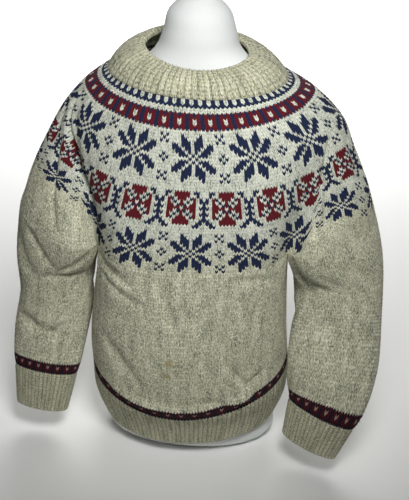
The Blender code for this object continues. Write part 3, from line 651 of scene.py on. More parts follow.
def sleeve_cloth(table, folds, outer, under):
    """A sleeve at +X below the outer stretch of its armhole and the underarm."""
    rows, columns = SLEEVE_GRID
    loop = np.vstack([outer, under])
    outer_length = polyline_length(outer)
    under_length = polyline_length(np.vstack([outer[-1:], under, outer[:1]]))
    shares = even_shares(columns)
    turned = shares - 0.5 * outer_length / loop_lengths(loop)[1][-1] + 0.25
    offset = even_points(loop, shares) - sleeve_section(table, 0.0, turned)
    grid = [sleeve_section(table, along, turned) + offset * (1.0 - ease(along / TAKE_OVER))
            for along in np.linspace(0.0, 1.0, rows)]
    across = folds_across(shares, rows, (outer_length, under_length), (SLEEVE_COLUMNS, UNDERARM_COLUMNS))
    return Cloth(sink_folds(np.stack(grid), folds, across, True, False))


def cuff_cloth(table, cuff_length, end_row):
    """A cuff at +X, running on from the last row of its sleeve."""
    middle, run = sleeve_frame(table, 1.0)[:2]
    levels = []
    for down in np.linspace(0.0, 1.0, CUFF_LEVELS):
        size = 1.0 + (CUFF_TAPER - 1.0) * down
        levels.append(middle + (end_row - middle) * size + run * cuff_length * down)
    return Cloth(np.stack(levels))


def hem_cloth():
    """The hem rib's surface, from its seam with the body down to its edge."""
    rows, columns = HEM_GRID
    shares = even_shares(columns)
    wall_points = body_points(shares)
    seam = hem_heights(HEM_TOP, HEM_TOP_RISE, shares)
    edge = hem_heights(HEM_EDGE, HEM_EDGE_RISE, shares)
    levels = []
    for down in np.linspace(0.0, 1.0, rows):
        heights = seam + (edge - seam) * down
        level = wall_points(heights)
        levels.append(np.column_stack([level, heights + level @ HEM_LEAN]))
    return Cloth(np.stack(levels))


def collar_cloth(wall):
    """The middle of the collar's doubled wall, from its folded rim down to the seam."""
    rows, columns = COLLAR_GRID
    x, y = table_outline(COLLAR_RIM)
    z = ring_heights(COLLAR_RIM, x, y)
    shares = even_shares(columns)
    top = even_points(np.stack([x + COLLAR_RIM["middle_x"], y, z], axis=1), shares)
    seam = even_points(yoke_ring(0.0), shares)
    seam_normals = tube_normals(np.stack([seam, even_points(yoke_ring(NEAR), shares)]))[0]
    bottom = seam - seam_normals * (0.5 * wall)
    slope_normals = tube_normals(np.stack([top, bottom]))[0]
    levels = []
    for up in np.linspace(1.0, 0.0, rows):
        facing = unit(seam_normals + (slope_normals - seam_normals) * ease(up / COLLAR_TURN))
        levels.append(bottom + (top - bottom) * up + facing * (COLLAR_BULGE * math.sin(math.pi * up)))
    return Cloth(np.stack(levels))


def form_grid():
    """The dress form's outer points from its neck down to its base, closed at both ends."""
    rows, columns = FORM_GRID
    heights = named(FORM_SECTIONS, "height")
    levels = []
    for height in np.linspace(heights[-1], heights[0], rows):
        level = level_points(read_table(FORM_SECTIONS, "height", height), even_shares(columns))
        levels.append(np.column_stack([level, np.full(columns, height)]))

    def closing(edge, sizes):
        middle = edge.mean(axis=0, keepdims=True)
        return [middle + (edge - middle) * size for size in sizes]

    return np.stack(closing(levels[0], TOP_RINGS) + levels + closing(levels[-1], BASE_RINGS))


# ---------------------------------------------------------------- stitches
# One knit stitch has four columns of points: its edge, its left leg, its middle and its
# right leg. Each row of stitches has two rows of points: the hollow between rows and
# the crown of the legs.
LEG_LEAN = np.array([-0.35, 0.0, 0.35, 0.0])    # how far a row's line dips, in rows
HOLLOW = np.array([-1.0, 0.10, -0.60, 0.10])    # relief in shares of the stitch's depth
CROWN = np.array([-0.80, 1.00, -0.15, 1.00])
TUCK_ROWS = 0.5         # a band's first row slips this many rows under the band above it
TUCK_DEPTH = 0.0005     # and this far below the surface
STITCH_MAP = "stitches"

# One rib has eight columns of points: the purl groove, the knit ridge's flank and its
# two legs with the hollow between them.
RIB_SHAPE = np.array([-0.15, 0.50, 0.88, 1.00, 0.78, 1.00, 0.88, 0.50])
RIB_LEAN = np.array([0.0, -0.10, -0.25, 0.0, 0.30, 0.0, -0.25, -0.10])
RIB_CROWN = np.array([0.10, 0.20, 0.60, 1.00, 0.30, 1.00, 0.60, 0.20])
RIB_POINTS = len(RIB_SHAPE)
RIB_STITCH = 0.8        # depth of a rib's stitches against those of stocking stitch
RIM_POINTS = 5          # rows of points over the rounded free edge
RIB_RISES_OVER = 0.008  # a rib has its full height this far from a seam
LEAN_GROWS = 8          # its stitches lean fully after one part in so many of its length
PAST_EDGE = 0.02        # share past the free end, to find the way that the cloth runs on


class Piece:
    """Points, faces, yarns and stitch places of one piece, gathered band by band."""

    def __init__(self):
        self.points, self.quads, self.yarns, self.places = [], [], [], []
        self.count = 0

    def add_grid(self, points, u, v, yarns, closed_rows=False, keep=None):
        """Quads over a grid that runs down and round; u and v are its stitch and row places.

        keep tells which of the quads are wanted.
        """
        rows, columns = points.shape[:2]
        row = np.arange(rows if closed_rows else rows - 1)[:, None]
        column = np.arange(columns)[None, :]
        below, beside = (row + 1) % rows, (column + 1) % columns
        corners = [(row, column), (below, column), (below, beside), (row, beside)]
        quads = np.stack([r * columns + c for r, c in corners], axis=-1)
        left, upper = u[column] + 0 * row, v[row] + 0 * column
        right, lower = left + (u[1] - u[0]), upper + (v[1] - v[0])
        places = np.stack([left, upper, left, lower, right, lower, right, upper], axis=-1)
        wanted = np.ones(quads.shape[:2], bool) if keep is None else keep
        used, corners = np.unique(quads[wanted], return_inverse=True)
        self.points.append(points.reshape(-1, 3)[used])
        self.quads.append(corners.reshape(-1, 4) + self.count)
        self.places.append(places[wanted].reshape(-1, 2))
        self.yarns.append(np.broadcast_to(yarns, quads.shape[:2])[wanted])
        self.count += len(used)

    def make(self, name, materials):
        """The piece as an object in the frame's own place."""
        points = np.concatenate(self.points) - CENTRE
        quads = np.concatenate(self.quads).astype(np.int32)
        mesh = bpy.data.meshes.new(name)
        mesh.vertices.add(len(points))
        mesh.vertices.foreach_set("co", points.astype(np.float32).ravel())
        mesh.loops.add(quads.size)
        mesh.loops.foreach_set("vertex_index", quads.ravel())
        mesh.polygons.add(len(quads))
        mesh.polygons.foreach_set("loop_start", np.arange(0, quads.size, 4, dtype=np.int32))
        mesh.update(calc_edges=True)
        for made_of in materials:
            mesh.materials.append(made_of)
        mesh.polygons.foreach_set("material_index", np.concatenate(self.yarns).astype(np.int32))
        layer = mesh.uv_layers.new(name=STITCH_MAP, do_init=False)
        layer.uv.foreach_set("vector", np.concatenate(self.places).astype(np.float32).ravel())
        mesh.shade_smooth()
        mesh.validate()
        made = bpy.data.objects.new(name, mesh)
        piece_collection().objects.link(made)
        return made


def knit_band(piece, cloth, cell, stitches, start, end, first_row, random, middle=0.0, tops=False):
    """One band of stocking stitch from start to end, in the yarns of its repeated cell.

    With tops, it is the plain rows that follow the drawn-up pattern over the sleeves.
    """
    gauge = bpy.context.scene.sweater_gauge
    rows = cell.shape[0]
    j = np.arange(2 * rows + 1)[:, None]
    i = np.arange(4 * stitches)[None, :]
    v = 0.5 * j + LEG_LEAN[i % 4]
    v[0] = -TUCK_ROWS
    share = (0.25 * i - 0.5) / stitches + middle + 0.0 * v
    keep = None
    if tops:
        lift = cloth.sample(cloth.lift, np.ones_like(share), share)
        down = 1.0 - lift * (1.0 - v / rows)
        keep = lift[:-1] > LEAST_LIFT
    else:
        down = cloth.settle(start + (end - start) * v / rows, share)
    point, normal = cloth.read(down, share)
    relief = np.where(j % 2 == 0, HOLLOW[i % 4], CROWN[i % 4]) * gauge.stitch_depth
    relief = relief + random.normal(0.0, gauge.unevenness, (rows + 1, stitches))[j // 2, i // 4]
    relief[0] = -TUCK_DEPTH
    yarns = cell[(j[:-1] // 2) % rows, (i // 4) % cell.shape[1]]
    piece.add_grid(point + normal * relief[..., None], 0.25 * np.arange(4 * stitches),
                   first_row + 0.5 * np.arange(2 * rows + 1), yarns, keep=keep)


def ribbed_wall(cloth, ribs, wall, rise, folded, random):
    """A closed wall of 1x1 rib round the middle surface of its cloth, rounded at its free end.

    The free end is the cloth's last row, or its first where the rib is folded over.
    """
    gauge = bpy.context.scene.sweater_gauge
    rows = int(round(cloth.drop / gauge.row_height))
    crown_rows = np.arange(2 * rows + 1)
    outward = crown_rows / (2 * rows)
    turn = np.arange(1, RIM_POINTS + 1) / (RIM_POINTS + 1) * math.pi
    back = np.arange(rows, -1, -1) / rows
    reach = np.concatenate([outward, np.ones(len(turn)), back])
    angle = np.concatenate([np.zeros(len(outward)), turn, np.full(len(back), math.pi)])
    crowned = np.concatenate([crown_rows % 2, np.ones(len(turn)), 0.5 * np.ones(len(back))])
    i = np.arange(RIB_POINTS * ribs)[None, :]
    share = (i / RIB_POINTS) / ribs + 0.0 * reach[:, None]
    lean = RIB_LEAN[i % RIB_POINTS] / rows * (np.cos(angle)[:, None] > 0.5)
    lean = lean * ease(reach * LEAN_GROWS)[:, None] * ease((1 - reach) * rows / 2)[:, None]
    along = reach[:, None] + (-lean if folded else lean)
    point, normal = cloth.read(1 - along if folded else along, share)
    ahead, edge = (cloth.read(np.full_like(share, -past if folded else 1.0 + past), share)[0]
                   for past in (PAST_EDGE, 0.0))
    forward = unit(ahead - edge)
    facing = normal * np.cos(angle)[:, None, None] + forward * np.sin(angle)[:, None, None]
    across = i + np.where(np.cos(angle) > -0.5, 0, RIB_POINTS // 2)[:, None]
    shape, crown = RIB_SHAPE[across % RIB_POINTS], RIB_CROWN[across % RIB_POINTS]
    grown = 1.0 if folded else ease(reach * cloth.drop / RIB_RISES_OVER)[:, None]
    uneven = random.normal(0.0, gauge.unevenness, (len(reach), ribs))[:, (np.arange(i.size) // RIB_POINTS)]
    relief = rise * shape * grown + gauge.stitch_depth * RIB_STITCH * crown * (crowned[:, None] - 0.5)
    relief = relief + uneven - (1.0 - grown) * TUCK_DEPTH
    point = point + facing * (0.5 * wall + relief)[..., None]
    piece = Piece()
    piece.add_grid(point[::-1] if folded else point, 2.0 * np.arange(i.size) / RIB_POINTS,
                   0.5 * np.arange(len(reach)), 0, closed_rows=True)
    return piece


# ---------------------------------------------------------------- materials
# How fine each grain is, for a stitch and a row.
FIBRES = (9.0, 5.0, 1.0)
PATCHES = (1.7, 1.1, 1.0)     # lighter and darker patches of the dyed yarns
FLECKS = (2.3, 1.0, 1.0)      # flecks of the ragg yarn
RIB_FLECKS = (2.8, 1.3, 1.0)
STREAKS = (0.45, 0.13, 1.0)   # broad streaks, over several rows

PLY_SLANT = 26.0        # how far the plies' lines lean over each leg
TWIST_HEIGHT = 0.16     # height of the plies and of loose fibres against the round of a leg
FIBRE_HEIGHT = 0.7
YARN_BUMP = (0.55, 0.0009)    # strength and depth
JERSEY_BUMP = (0.08, 0.0005)
JERSEY_DEEP = 0.9       # how dark the clouds in the jersey and the board are
BOARD_DEEP = 0.97
DYED_STOPS = (0.25, 0.62, 1.0)           # where deep, middle and light shades of a dyed yarn lie
PLY_STOPS = (0.57, 0.67, 0.77, 0.90)     # where the ragg yarn's four shades follow each other
DYED_PAINTED_CROWN_LIGHT = 0.55       # painted highlight: how much the crown of a leg is painted lighter, leaving a dyed yarn's hollows darker as painted shade
RAGG_PAINTED_CROWN_LIGHT = 0.16       # and the ragg yarn's painted highlight and shade, and its streaks and its twist
RAGG_STREAK = 0.35
RAGG_TWIST = 0.03
FLECK_ROUGH = 0.65      # how ragged the flecks' edges are
PAINTED_GROOVE_SHADE = "#cbc7b2"      # painted shade in the purl grooves of a rib, and how narrow the grooves are
GROOVE_SHARP = 10.0
RIB_PAINTED_SHADE = 0.91        # painted shade: the ribs are a little darker copy of the ragg yarn
SPOT_GRAIN = 180.0      # how fine the ragged edge of a rusty mark is
SPOT_FADE = (0.5, 1.7)  # where a mark begins to fade and where it ends, in its reach
SPOT_STRENGTH = 0.75


def linear(code):
    """A colour of Blender's own from an sRGB hex code."""
    parts = [int(code[place : place + 2], 16) / 255 for place in (1, 3, 5)]
    return tuple(part / 12.92 if part <= 0.04045 else ((part + 0.055) / 1.055) ** 2.4 for part in parts)


def add(tree, kind, settings=None, links=None):
    """A node with its settings, and its inputs linked or set by name or number."""
    node = tree.nodes.new(kind)
    for name, value in (settings or {}).items():
        setattr(node, name, value)
    for name, value in (links or {}).items():
        socket = node.inputs[name] if isinstance(name, int) else in_use(node.inputs, name)
        if isinstance(value, bpy.types.NodeSocket):
            tree.links.new(value, socket)
        else:
            socket.default_value = value
    return node


def in_use(sockets, name):
    """The socket of that name that the node's settings leave switched on."""
    return next(socket for socket in sockets if socket.name == name and socket.enabled)


def maths(tree, operation, *values):
    """The result of one step of arithmetic on sockets or numbers."""
    return add(tree, "ShaderNodeMath", {"operation": operation}, dict(enumerate(values))).outputs[0]


def stretched(tree, place, by):
    """A place with each of its parts multiplied."""
    return add(tree, "ShaderNodeVectorMath", {"operation": "MULTIPLY"}, {0: place, 1: by}).outputs[0]


def noise(tree, place, scale=1.0, detail=2.0, roughness=0.5):
    links = {"Vector": place, "Scale": scale, "Detail": detail, "Roughness": roughness}
    return add(tree, "ShaderNodeTexNoise", None, links).outputs[0]


def mixed(tree, factor, first, second, way="MIX"):
    """A colour between two, each given as a socket or as three parts."""
    first, second = (part if isinstance(part, bpy.types.NodeSocket) else (*part, 1.0)
                     for part in (first, second))
    node = add(tree, "ShaderNodeMix", {"data_type": "RGBA", "blend_type": way},
               {"Factor": factor, "A": first, "B": second})
    return in_use(node.outputs, "Result")


def colour_stops(tree, factor, stops):
    """A colour that runs through the stops as the factor grows."""
    node = add(tree, "ShaderNodeValToRGB", None, {"Fac": factor})
    for number, (place, colour) in enumerate(stops):
        if number == len(node.color_ramp.elements):
            node.color_ramp.elements.new(1.0)
        node.color_ramp.elements[number].position = place
        node.color_ramp.elements[number].color = (*colour, 1.0)
    return node.outputs["Color"]


def start_material(name, roughness, sheen, sheen_roughness):
    made = bpy.data.materials.new(name)
    made.use_nodes = True
    shader = made.node_tree.nodes["Principled BSDF"]
    values = {"Roughness": roughness, "Specular IOR Level": 0.2, "Sheen Weight": sheen,
              "Sheen Roughness": sheen_roughness}
    for socket, value in values.items():
        shader.inputs[socket].default_value = value
    return made, made.node_tree, shader


def finish_material(tree, shader, tone, height=None, strength=0.0, distance=0.0):
    """Give the shader its colour, and a bump of that height."""
    tree.links.new(tone, shader.inputs["Base Color"])
    if height is not None:
        bump = add(tree, "ShaderNodeBump", None,
                   {"Height": height, "Strength": strength, "Distance": distance})
        tree.links.new(bump.outputs[0], shader.inputs["Normal"])


def stitch_pattern(tree):
    """The stitch place, how far a point stands up on its leg, and the twist of the yarn."""
    place = add(tree, "ShaderNodeUVMap", {"uv_map": STITCH_MAP}).outputs["UV"]
    parts = add(tree, "ShaderNodeSeparateXYZ", None, {"Vector": place}).outputs
    row_round = maths(tree, "ABSOLUTE", maths(tree, "SINE", maths(tree, "MULTIPLY", parts["Y"], math.pi)))
    leg_turn = maths(tree, "MULTIPLY", parts["X"], math.tau)
    stands = maths(tree, "MULTIPLY", row_round, maths(tree, "ABSOLUTE", maths(tree, "SINE", leg_turn)))
    across = maths(tree, "PINGPONG", parts["X"], 0.5)
    slant = maths(tree, "MULTIPLY_ADD", across, PLY_SLANT, leg_turn)
    twist = maths(tree, "SINE", maths(tree, "MULTIPLY_ADD", parts["Y"], 2 * math.tau, slant))
    return place, stands, twist


def finish_yarn(tree, shader, tone, place, stands, twist):
    """Its colour, with height from the round of each leg, the twist of its plies and loose fibres."""
    fibre = noise(tree, stretched(tree, place, FIBRES), detail=3.0)
    plied = maths(tree, "MULTIPLY_ADD", twist, TWIST_HEIGHT, stands)
    finish_material(tree, shader, tone, maths(tree, "MULTIPLY_ADD", fibre, FIBRE_HEIGHT, plied), *YARN_BUMP)


def dyed_wool(name, shade, deep, light):
    """Two-ply worsted lambswool, dyed in the yarn and hand-knitted.

    Its scales scatter light, so it is matt with a soft bright edge. Each stitch is painted
    a little darker in its hollows and lighter on the crown of its legs: painted shade and
    painted highlight.
    """
    made, tree, shader = start_material(name, roughness=0.95, sheen=0.04, sheen_roughness=0.5)
    place, stands, twist = stitch_pattern(tree)
    patch = noise(tree, stretched(tree, place, PATCHES))
    # painted highlight on the crown of each leg and painted shade in its hollows, over the random patches
    tone_and_painted_light = maths(tree, "MULTIPLY_ADD", stands, DYED_PAINTED_CROWN_LIGHT, patch)
    tone = colour_stops(tree, tone_and_painted_light, zip(DYED_STOPS, (deep, shade, light)))
    finish_yarn(tree, shader, tone, place, stands, twist)
    return made


def groove_painted_shade_mask(tree, place):
    """Mask of the painted shade in the purl grooves: 1 along the bottom of each groove, and 0 on the ridges;
    a rib is two stitches wide.
    """
    across = add(tree, "ShaderNodeSeparateXYZ", None, {"Vector": place}).outputs["X"]
    wave = maths(tree, "COSINE", maths(tree, "MULTIPLY", across, 0.5 * math.pi))
    return maths(tree, "POWER", maths(tree, "ABSOLUTE", wave), GROOVE_SHARP)


def ragg_wool(name, plies, painted_light_plies=None, spots=(), ribbed=False):
    """Ragg wool: undyed light plies spun together with grey-green ones, hand-knitted.

    The plies show in turn as short light and dark flecks along each leg. They are
    about 2 mm long in the yarn and are drawn twice that, so that they show. The crown
    of each leg is painted lighter and its hollows darker: painted highlight and painted
    shade. Where painted_light_plies are given, the yoke's ground, the same yarn as the
    body's, is painted lighter with those shades as painted light, and runs over into the
    plain ones at its last rows. spots are faint rusty marks of age and wear. Where it is
    ribbed, the purl grooves are painted darker, painted shade which draws the ribs.
    """
    made, tree, shader = start_material(name, roughness=0.95, sheen=0.05, sheen_roughness=0.5)
    place, stands, twist = stitch_pattern(tree)
    fleck = noise(tree, stretched(tree, place, RIB_FLECKS if ribbed else FLECKS), roughness=FLECK_ROUGH)
    streak = noise(tree, stretched(tree, place, STREAKS))
    tone_and_painted_light = maths(tree, "MULTIPLY_ADD", streak, RAGG_STREAK, fleck)
    tone_and_painted_light = maths(tree, "MULTIPLY_ADD", twist, RAGG_TWIST, tone_and_painted_light)
    # painted highlight on the crown of each leg and painted shade in its hollows
    tone_and_painted_light = maths(tree, "MULTIPLY_ADD", stands, RAGG_PAINTED_CROWN_LIGHT, tone_and_painted_light)
    tone = colour_stops(tree, tone_and_painted_light, zip(PLY_STOPS, plies))
    # painted light: the yoke's ground, the same yarn as the body's, is painted lighter and fades into the
    # body's shades over its last rows
    if painted_light_plies:
        painted_light_tone = colour_stops(tree, tone_and_painted_light, zip(PLY_STOPS, painted_light_plies))
        rows = add(tree, "ShaderNodeSeparateXYZ", None, {"Vector": place}).outputs["Y"]
        span = {"Value": rows, "From Min": float(YOKE_ROWS - PAINTED_LIGHT_FADE_ROWS), "From Max": float(YOKE_ROWS)}
        tone = mixed(tree, add(tree, "ShaderNodeMapRange", None, span).outputs[0], painted_light_tone, tone)
    if ribbed:
        # painted shade: the purl grooves of the ribs are painted darker
        tone = mixed(tree, groove_painted_shade_mask(tree, place), tone, linear(PAINTED_GROOVE_SHADE), "MULTIPLY")
    for centre, size, shade in spots:
        own = add(tree, "ShaderNodeTexCoord").outputs["Object"]
        away = add(tree, "ShaderNodeVectorMath", {"operation": "DISTANCE"}, {0: own, 1: centre})
        edge = maths(tree, "MULTIPLY_ADD", noise(tree, own, SPOT_GRAIN), size, away.outputs["Value"])
        span = {"Value": edge, "From Min": SPOT_FADE[0] * size, "From Max": SPOT_FADE[1] * size,
                "To Min": SPOT_STRENGTH, "To Max": 0.0}
        tone = mixed(tree, add(tree, "ShaderNodeMapRange", None, span).outputs[0], tone, linear(shade))
    finish_yarn(tree, shader, tone, place, stands, twist)
    return made


def cotton_jersey(name, white):
    """Fine white cotton jersey stretched over foam: smooth and matt, with a faint rib of its own.

    Its wales are 1 mm apart in the cloth and are drawn 2.5 mm apart, so that they show.
    """
    made, tree, shader = start_material(name, roughness=0.85, sheen=0.15, sheen_roughness=0.4)
    place = add(tree, "ShaderNodeTexCoord").outputs["Object"]
    wales = add(tree, "ShaderNodeTexWave", {"wave_type": "BANDS", "bands_direction": "X"},
                {"Vector": place, "Scale": 60.0, "Distortion": 2.0, "Detail": 2.0}).outputs["Color"]
    clouds = noise(tree, place, scale=9.0, detail=3.0)
    tone = mixed(tree, clouds, [JERSEY_DEEP * part for part in white], white)
    finish_material(tree, shader, tone, wales, *JERSEY_BUMP)
    return made


def painted_board(name, colour):
    """Matt painted board: the studio's floor, plain so that only soft shadows show on it."""
    made, tree, shader = start_material(name, roughness=0.9, sheen=0.0, sheen_roughness=0.5)
    place = add(tree, "ShaderNodeTexCoord").outputs["Object"]
    clouds = noise(tree, place, scale=1.5)
    tone = mixed(tree, clouds, [BOARD_DEEP * part for part in colour], colour)
    finish_material(tree, shader, tone)
    return made


# ---------------------------------------------------------------- settings
def colour_setting(name, description, code):
    return FloatVectorProperty(name=name, description=description, subtype="COLOR", size=3,
                               min=0.0, max=1.0, default=linear(code))


def size_setting(name, description, default):
    return FloatProperty(name=name, description=description, default=default, min=0.0, unit="LENGTH",
                         precision=4)


def count_setting(name, description, default):
    return IntProperty(name=name, description=description, default=default, min=8)


def angle_setting(name, description, degrees):
    return FloatProperty(name=name, description=description, subtype="ANGLE", default=math.radians(degrees))


def power_setting(name, description, default):
    return FloatProperty(name=name, description=description, unit="POWER", default=default)


class SweaterGauge(PropertyGroup):
    """Sizes of the stitches and ribs."""

    stitch_depth: size_setting("Stitch depth", "How far a stitch's legs stand over its middle", 0.00080)
    unevenness: size_setting("Unevenness", "How far hand-knitted stitches differ in height", 0.00010)
    row_height: size_setting("Row height", "Height of one row of stitches", 0.0048)
    cloth: size_setting("Cloth", "Thickness of the knitted wall", 0.0032)
    collar_wall: size_setting("Collar wall", "Thickness of the folded collar", 0.0085)
    rib_rise: size_setting("Rib rise", "How far the ribs of hem and cuffs stand up", 0.0011)
    collar_rise: size_setting("Collar rib rise", "How far the collar's ribs stand up", 0.0015)
    collar_ribs: count_setting("Collar ribs", "Ribs round the collar", 72)
    hem_ribs: count_setting("Hem ribs", "Ribs round the hem", 112)
    cuff_ribs: count_setting("Cuff ribs", "Ribs round each cuff", 40)
    body_stitches: count_setting("Body stitches", "Stitches round the body", 184)
    edge_stitches: count_setting("Edge stitches", "Stitches round the band over the hem", 164)


class SweaterColours(PropertyGroup):
    """Colours of the yarns and of the form's cover."""

    navy: colour_setting("Navy", "Stars and branches", "#19223c")
    madder: colour_setting("Madder", "Crosses and bars", "#55141c")
    ragg_light: colour_setting("Ragg light", "Light plies of the ragg yarn", "#e6e4cf")
    ragg_warm: colour_setting("Ragg warm", "Warm middle tone of the ragg yarn", "#bfbea3")
    ragg_cool: colour_setting("Ragg cool", "Cool middle tone of the ragg yarn", "#abad95")
    ragg_dark: colour_setting("Ragg dark", "Dark plies of the ragg yarn", "#6a6e63")
    # painted light: the yoke's ground is the body's ragg yarn painted lighter, between these two ends
    yoke_painted_light_pale: colour_setting("Yoke light", "Light plies of the yoke's ground", "#d8dacb")
    yoke_painted_light_dark: colour_setting("Yoke dark", "Dark plies of the yoke's ground", "#737b70")
    edge_navy: colour_setting("Edge navy", "Ground of the bands at hem and cuffs", "#14131f")
    burgundy: colour_setting("Burgundy", "Squares of the bands at hem and cuffs", "#3c0d16")
    blush: colour_setting("Blush", "Dots of the bands at hem and cuffs", "#8f7a72")
    jersey: colour_setting("Jersey", "Cover of the dress form", "#e9ecea")


class SweaterStudio(PropertyGroup):
    """Camera, lights and floor."""

    camera_distance: size_setting("Camera distance", "From the object's axis, level", 1.70)
    camera_height: size_setting("Camera height", "Above the floor", 1.25)
    camera_round: angle_setting("Camera round", "Angle round the object from its front", 5.0)
    camera_yaw: angle_setting("Camera yaw", "Turn away from the axis", -0.456)
    camera_pitch: angle_setting("Camera pitch", "Angle below the level", 27.65)
    camera_roll: angle_setting("Camera roll", "Tilt of the picture", 1.5)
    lens: FloatProperty(name="Lens", description="Focal length on a 36 mm sensor", unit="CAMERA",
                        default=81.43)
    key_power: power_setting("Key light", "Power of the softbox over the camera", 2.05)
    fill_power: power_setting("Fill light", "Power of the large softbox beside the camera", 1.2)
    floor_power: power_setting("Floor light", "Power of the softbox over the floor behind", 75.0)
    back_power: power_setting("Back light", "Power of the softbox behind", 4.0)
    sky: FloatProperty(name="Room light", description="Strength of the even light around", default=0.07)
    floor: colour_setting("Floor", "Pale floor", "#f4f4f2")


# The softboxes: their place, what they point at, the width of the square and its spread in degrees.
SOFTBOXES = {
    "key": ((0.22, -0.86, 1.38), (0.0, -0.10, 0.53), 0.45, 56.0),
    "fill": ((-0.10, -1.62, 1.46), (0.0, 0.0, 0.50), 0.8, 180.0),
    "back": ((-0.70, 1.50, 1.50), (0.0, 0.10, 0.40), 0.9, 180.0),
    "floor": ((0.0, 2.70, 2.20), (0.0, 2.70, 0.0), 1.8, 130.0),
}
FLOOR_HALF = 8.0        # half the floor's width
FLOOR_DROP = 0.0005     # the floor lies this far below the part's base
SENSOR_WIDTH = 36.0     # mm


# ---------------------------------------------------------------- pieces
def piece_collection():
    found = bpy.data.collections.get("norwegian_sweater")
    if found is None:
        found = bpy.data.collections.new("norwegian_sweater")
        bpy.context.scene.collection.children.link(found)
    return found


# The dyed yarns: their colour's setting, and how dark their hollows and how light their crowns
# are painted, as painted shade and painted highlight, which the random patches also run between.
DYED_YARNS = {
    "navy_lambswool": ("navy", 0.55, 1.45),
    "madder_lambswool": ("madder", 0.62, 1.35),
    "edge_navy_wool": ("edge_navy", 0.60, 1.40),
    "burgundy_wool": ("burgundy", 0.60, 1.40),
    "blush_wool": ("blush", 0.75, 1.15),
}
YOKE_PAINTED_LIGHT_STEPS = (0.0, 0.55, 0.76, 1.0)     # the yoke's four painted-lighter shades, between its dark and pale ends


def yarn(name):
    """One of the sweater's yarns, made once and shared by its pieces."""
    found = bpy.data.materials.get(name)
    if found is not None:
        return found
    colours = bpy.context.scene.sweater_colours
    if name in DYED_YARNS:
        setting, low, high = DYED_YARNS[name]
        shade = getattr(colours, setting)
        # deep and light are the painted shade of the hollows and the painted highlight of the crowns, and
        # the ends of the random patches
        deep, light = ([min(part * factor, 1.0) for part in shade] for factor in (low, high))
        return dyed_wool(name, shade, deep, light)
    plies = (colours.ragg_dark, colours.ragg_cool, colours.ragg_warm, colours.ragg_light)
    # painted shade: the ribs take a darker copy of the ragg yarn's plies, with painted shade in their
    # grooves
    if name == "ribbed_ragg_wool":
        return ragg_wool(name, [tuple(RIB_PAINTED_SHADE * part for part in ply) for ply in plies], ribbed=True)
    if name == "worn_ragg_wool":
        return ragg_wool(name, plies, spots=RUSTY_SPOTS)
    # painted light: the yoke's ground is the body's same yarn painted lighter
    if name == "yoke_ragg_wool":
        dark, light = np.array(colours.yoke_painted_light_dark), np.array(colours.yoke_painted_light_pale)
        return ragg_wool(name, plies, [tuple(dark + (light - dark) * share) for share in YOKE_PAINTED_LIGHT_STEPS])
    return ragg_wool(name, plies)


def edge_yarns(ground):
    return [yarn(name) for name in (ground, "edge_navy_wool", "burgundy_wool", "blush_wool")]


def declare(piece, node):
    """Everything the frame is told about one piece of cloth: it hangs from the root, and the part it stands
    for is hidden.
    """
    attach(piece, "root")
    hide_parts(node)


def knit_rib(name, node, cloth, ribs, random):
    """The ribbed edge of a piece, which hangs from it."""
    gauge = bpy.context.scene.sweater_gauge
    piece = ribbed_wall(cloth.sunk(0.5 * gauge.cloth), ribs, gauge.cloth, gauge.rib_rise, False, random)
    declare(piece.make(name, [yarn("ribbed_ragg_wool")]), node)


class SWEATER_OT_knit_yoke(Operator):
    """Knit the patterned round yoke, band by band"""

    bl_idname = "sweater.knit_yoke"
    bl_label = "Knit Yoke"

    def execute(self, context):
        cloth = yoke_cloth()
        random = np.random.default_rng(SEEDS["yoke"])
        yarns = [yarn(name) for name in ("yoke_ragg_wool", "navy_lambswool", "madder_lambswool")]
        first_row = 0
        for name, cell, stitches, start, end, middle in YOKE_BANDS:
            piece = Piece()
            knit_band(piece, cloth, cell, stitches, start, end, first_row, random, middle)
            first_row += cell.shape[0]
            if end == 1.0:
                plain = np.zeros((SLEEVE_TOP_ROWS, 1), int)
                knit_band(piece, cloth, plain, stitches, 1.0, 1.0, first_row, random, middle, tops=True)
            declare(piece.make(name, yarns), "yoke")
        return {"FINISHED"}


class SWEATER_OT_knit_body(Operator):
    """Knit the plain body with the narrow band over its hem"""

    bl_idname = "sweater.knit_body"
    bl_label = "Knit Body"

    def execute(self, context):
        gauge = context.scene.sweater_gauge
        front, _, back, _, under_left, under_right = join_pieces()
        cloth = body_cloth(front, under_left, back, under_right)
        random = np.random.default_rng(SEEDS["body"])
        rows = int(round(cloth.drop / gauge.row_height))
        plain = np.zeros((rows - len(EDGE_BAND), 1), int)
        split = len(plain) / rows
        piece = Piece()
        knit_band(piece, cloth, plain, gauge.body_stitches, 0.0, split, BODY_FIRST_ROW, random)
        knit_band(piece, cloth, EDGE_CELL, gauge.edge_stitches, split, 1.0, HEM_BAND_FIRST_ROW, random)
        declare(piece.make("body_knit", edge_yarns("worn_ragg_wool")), "body")
        return {"FINISHED"}


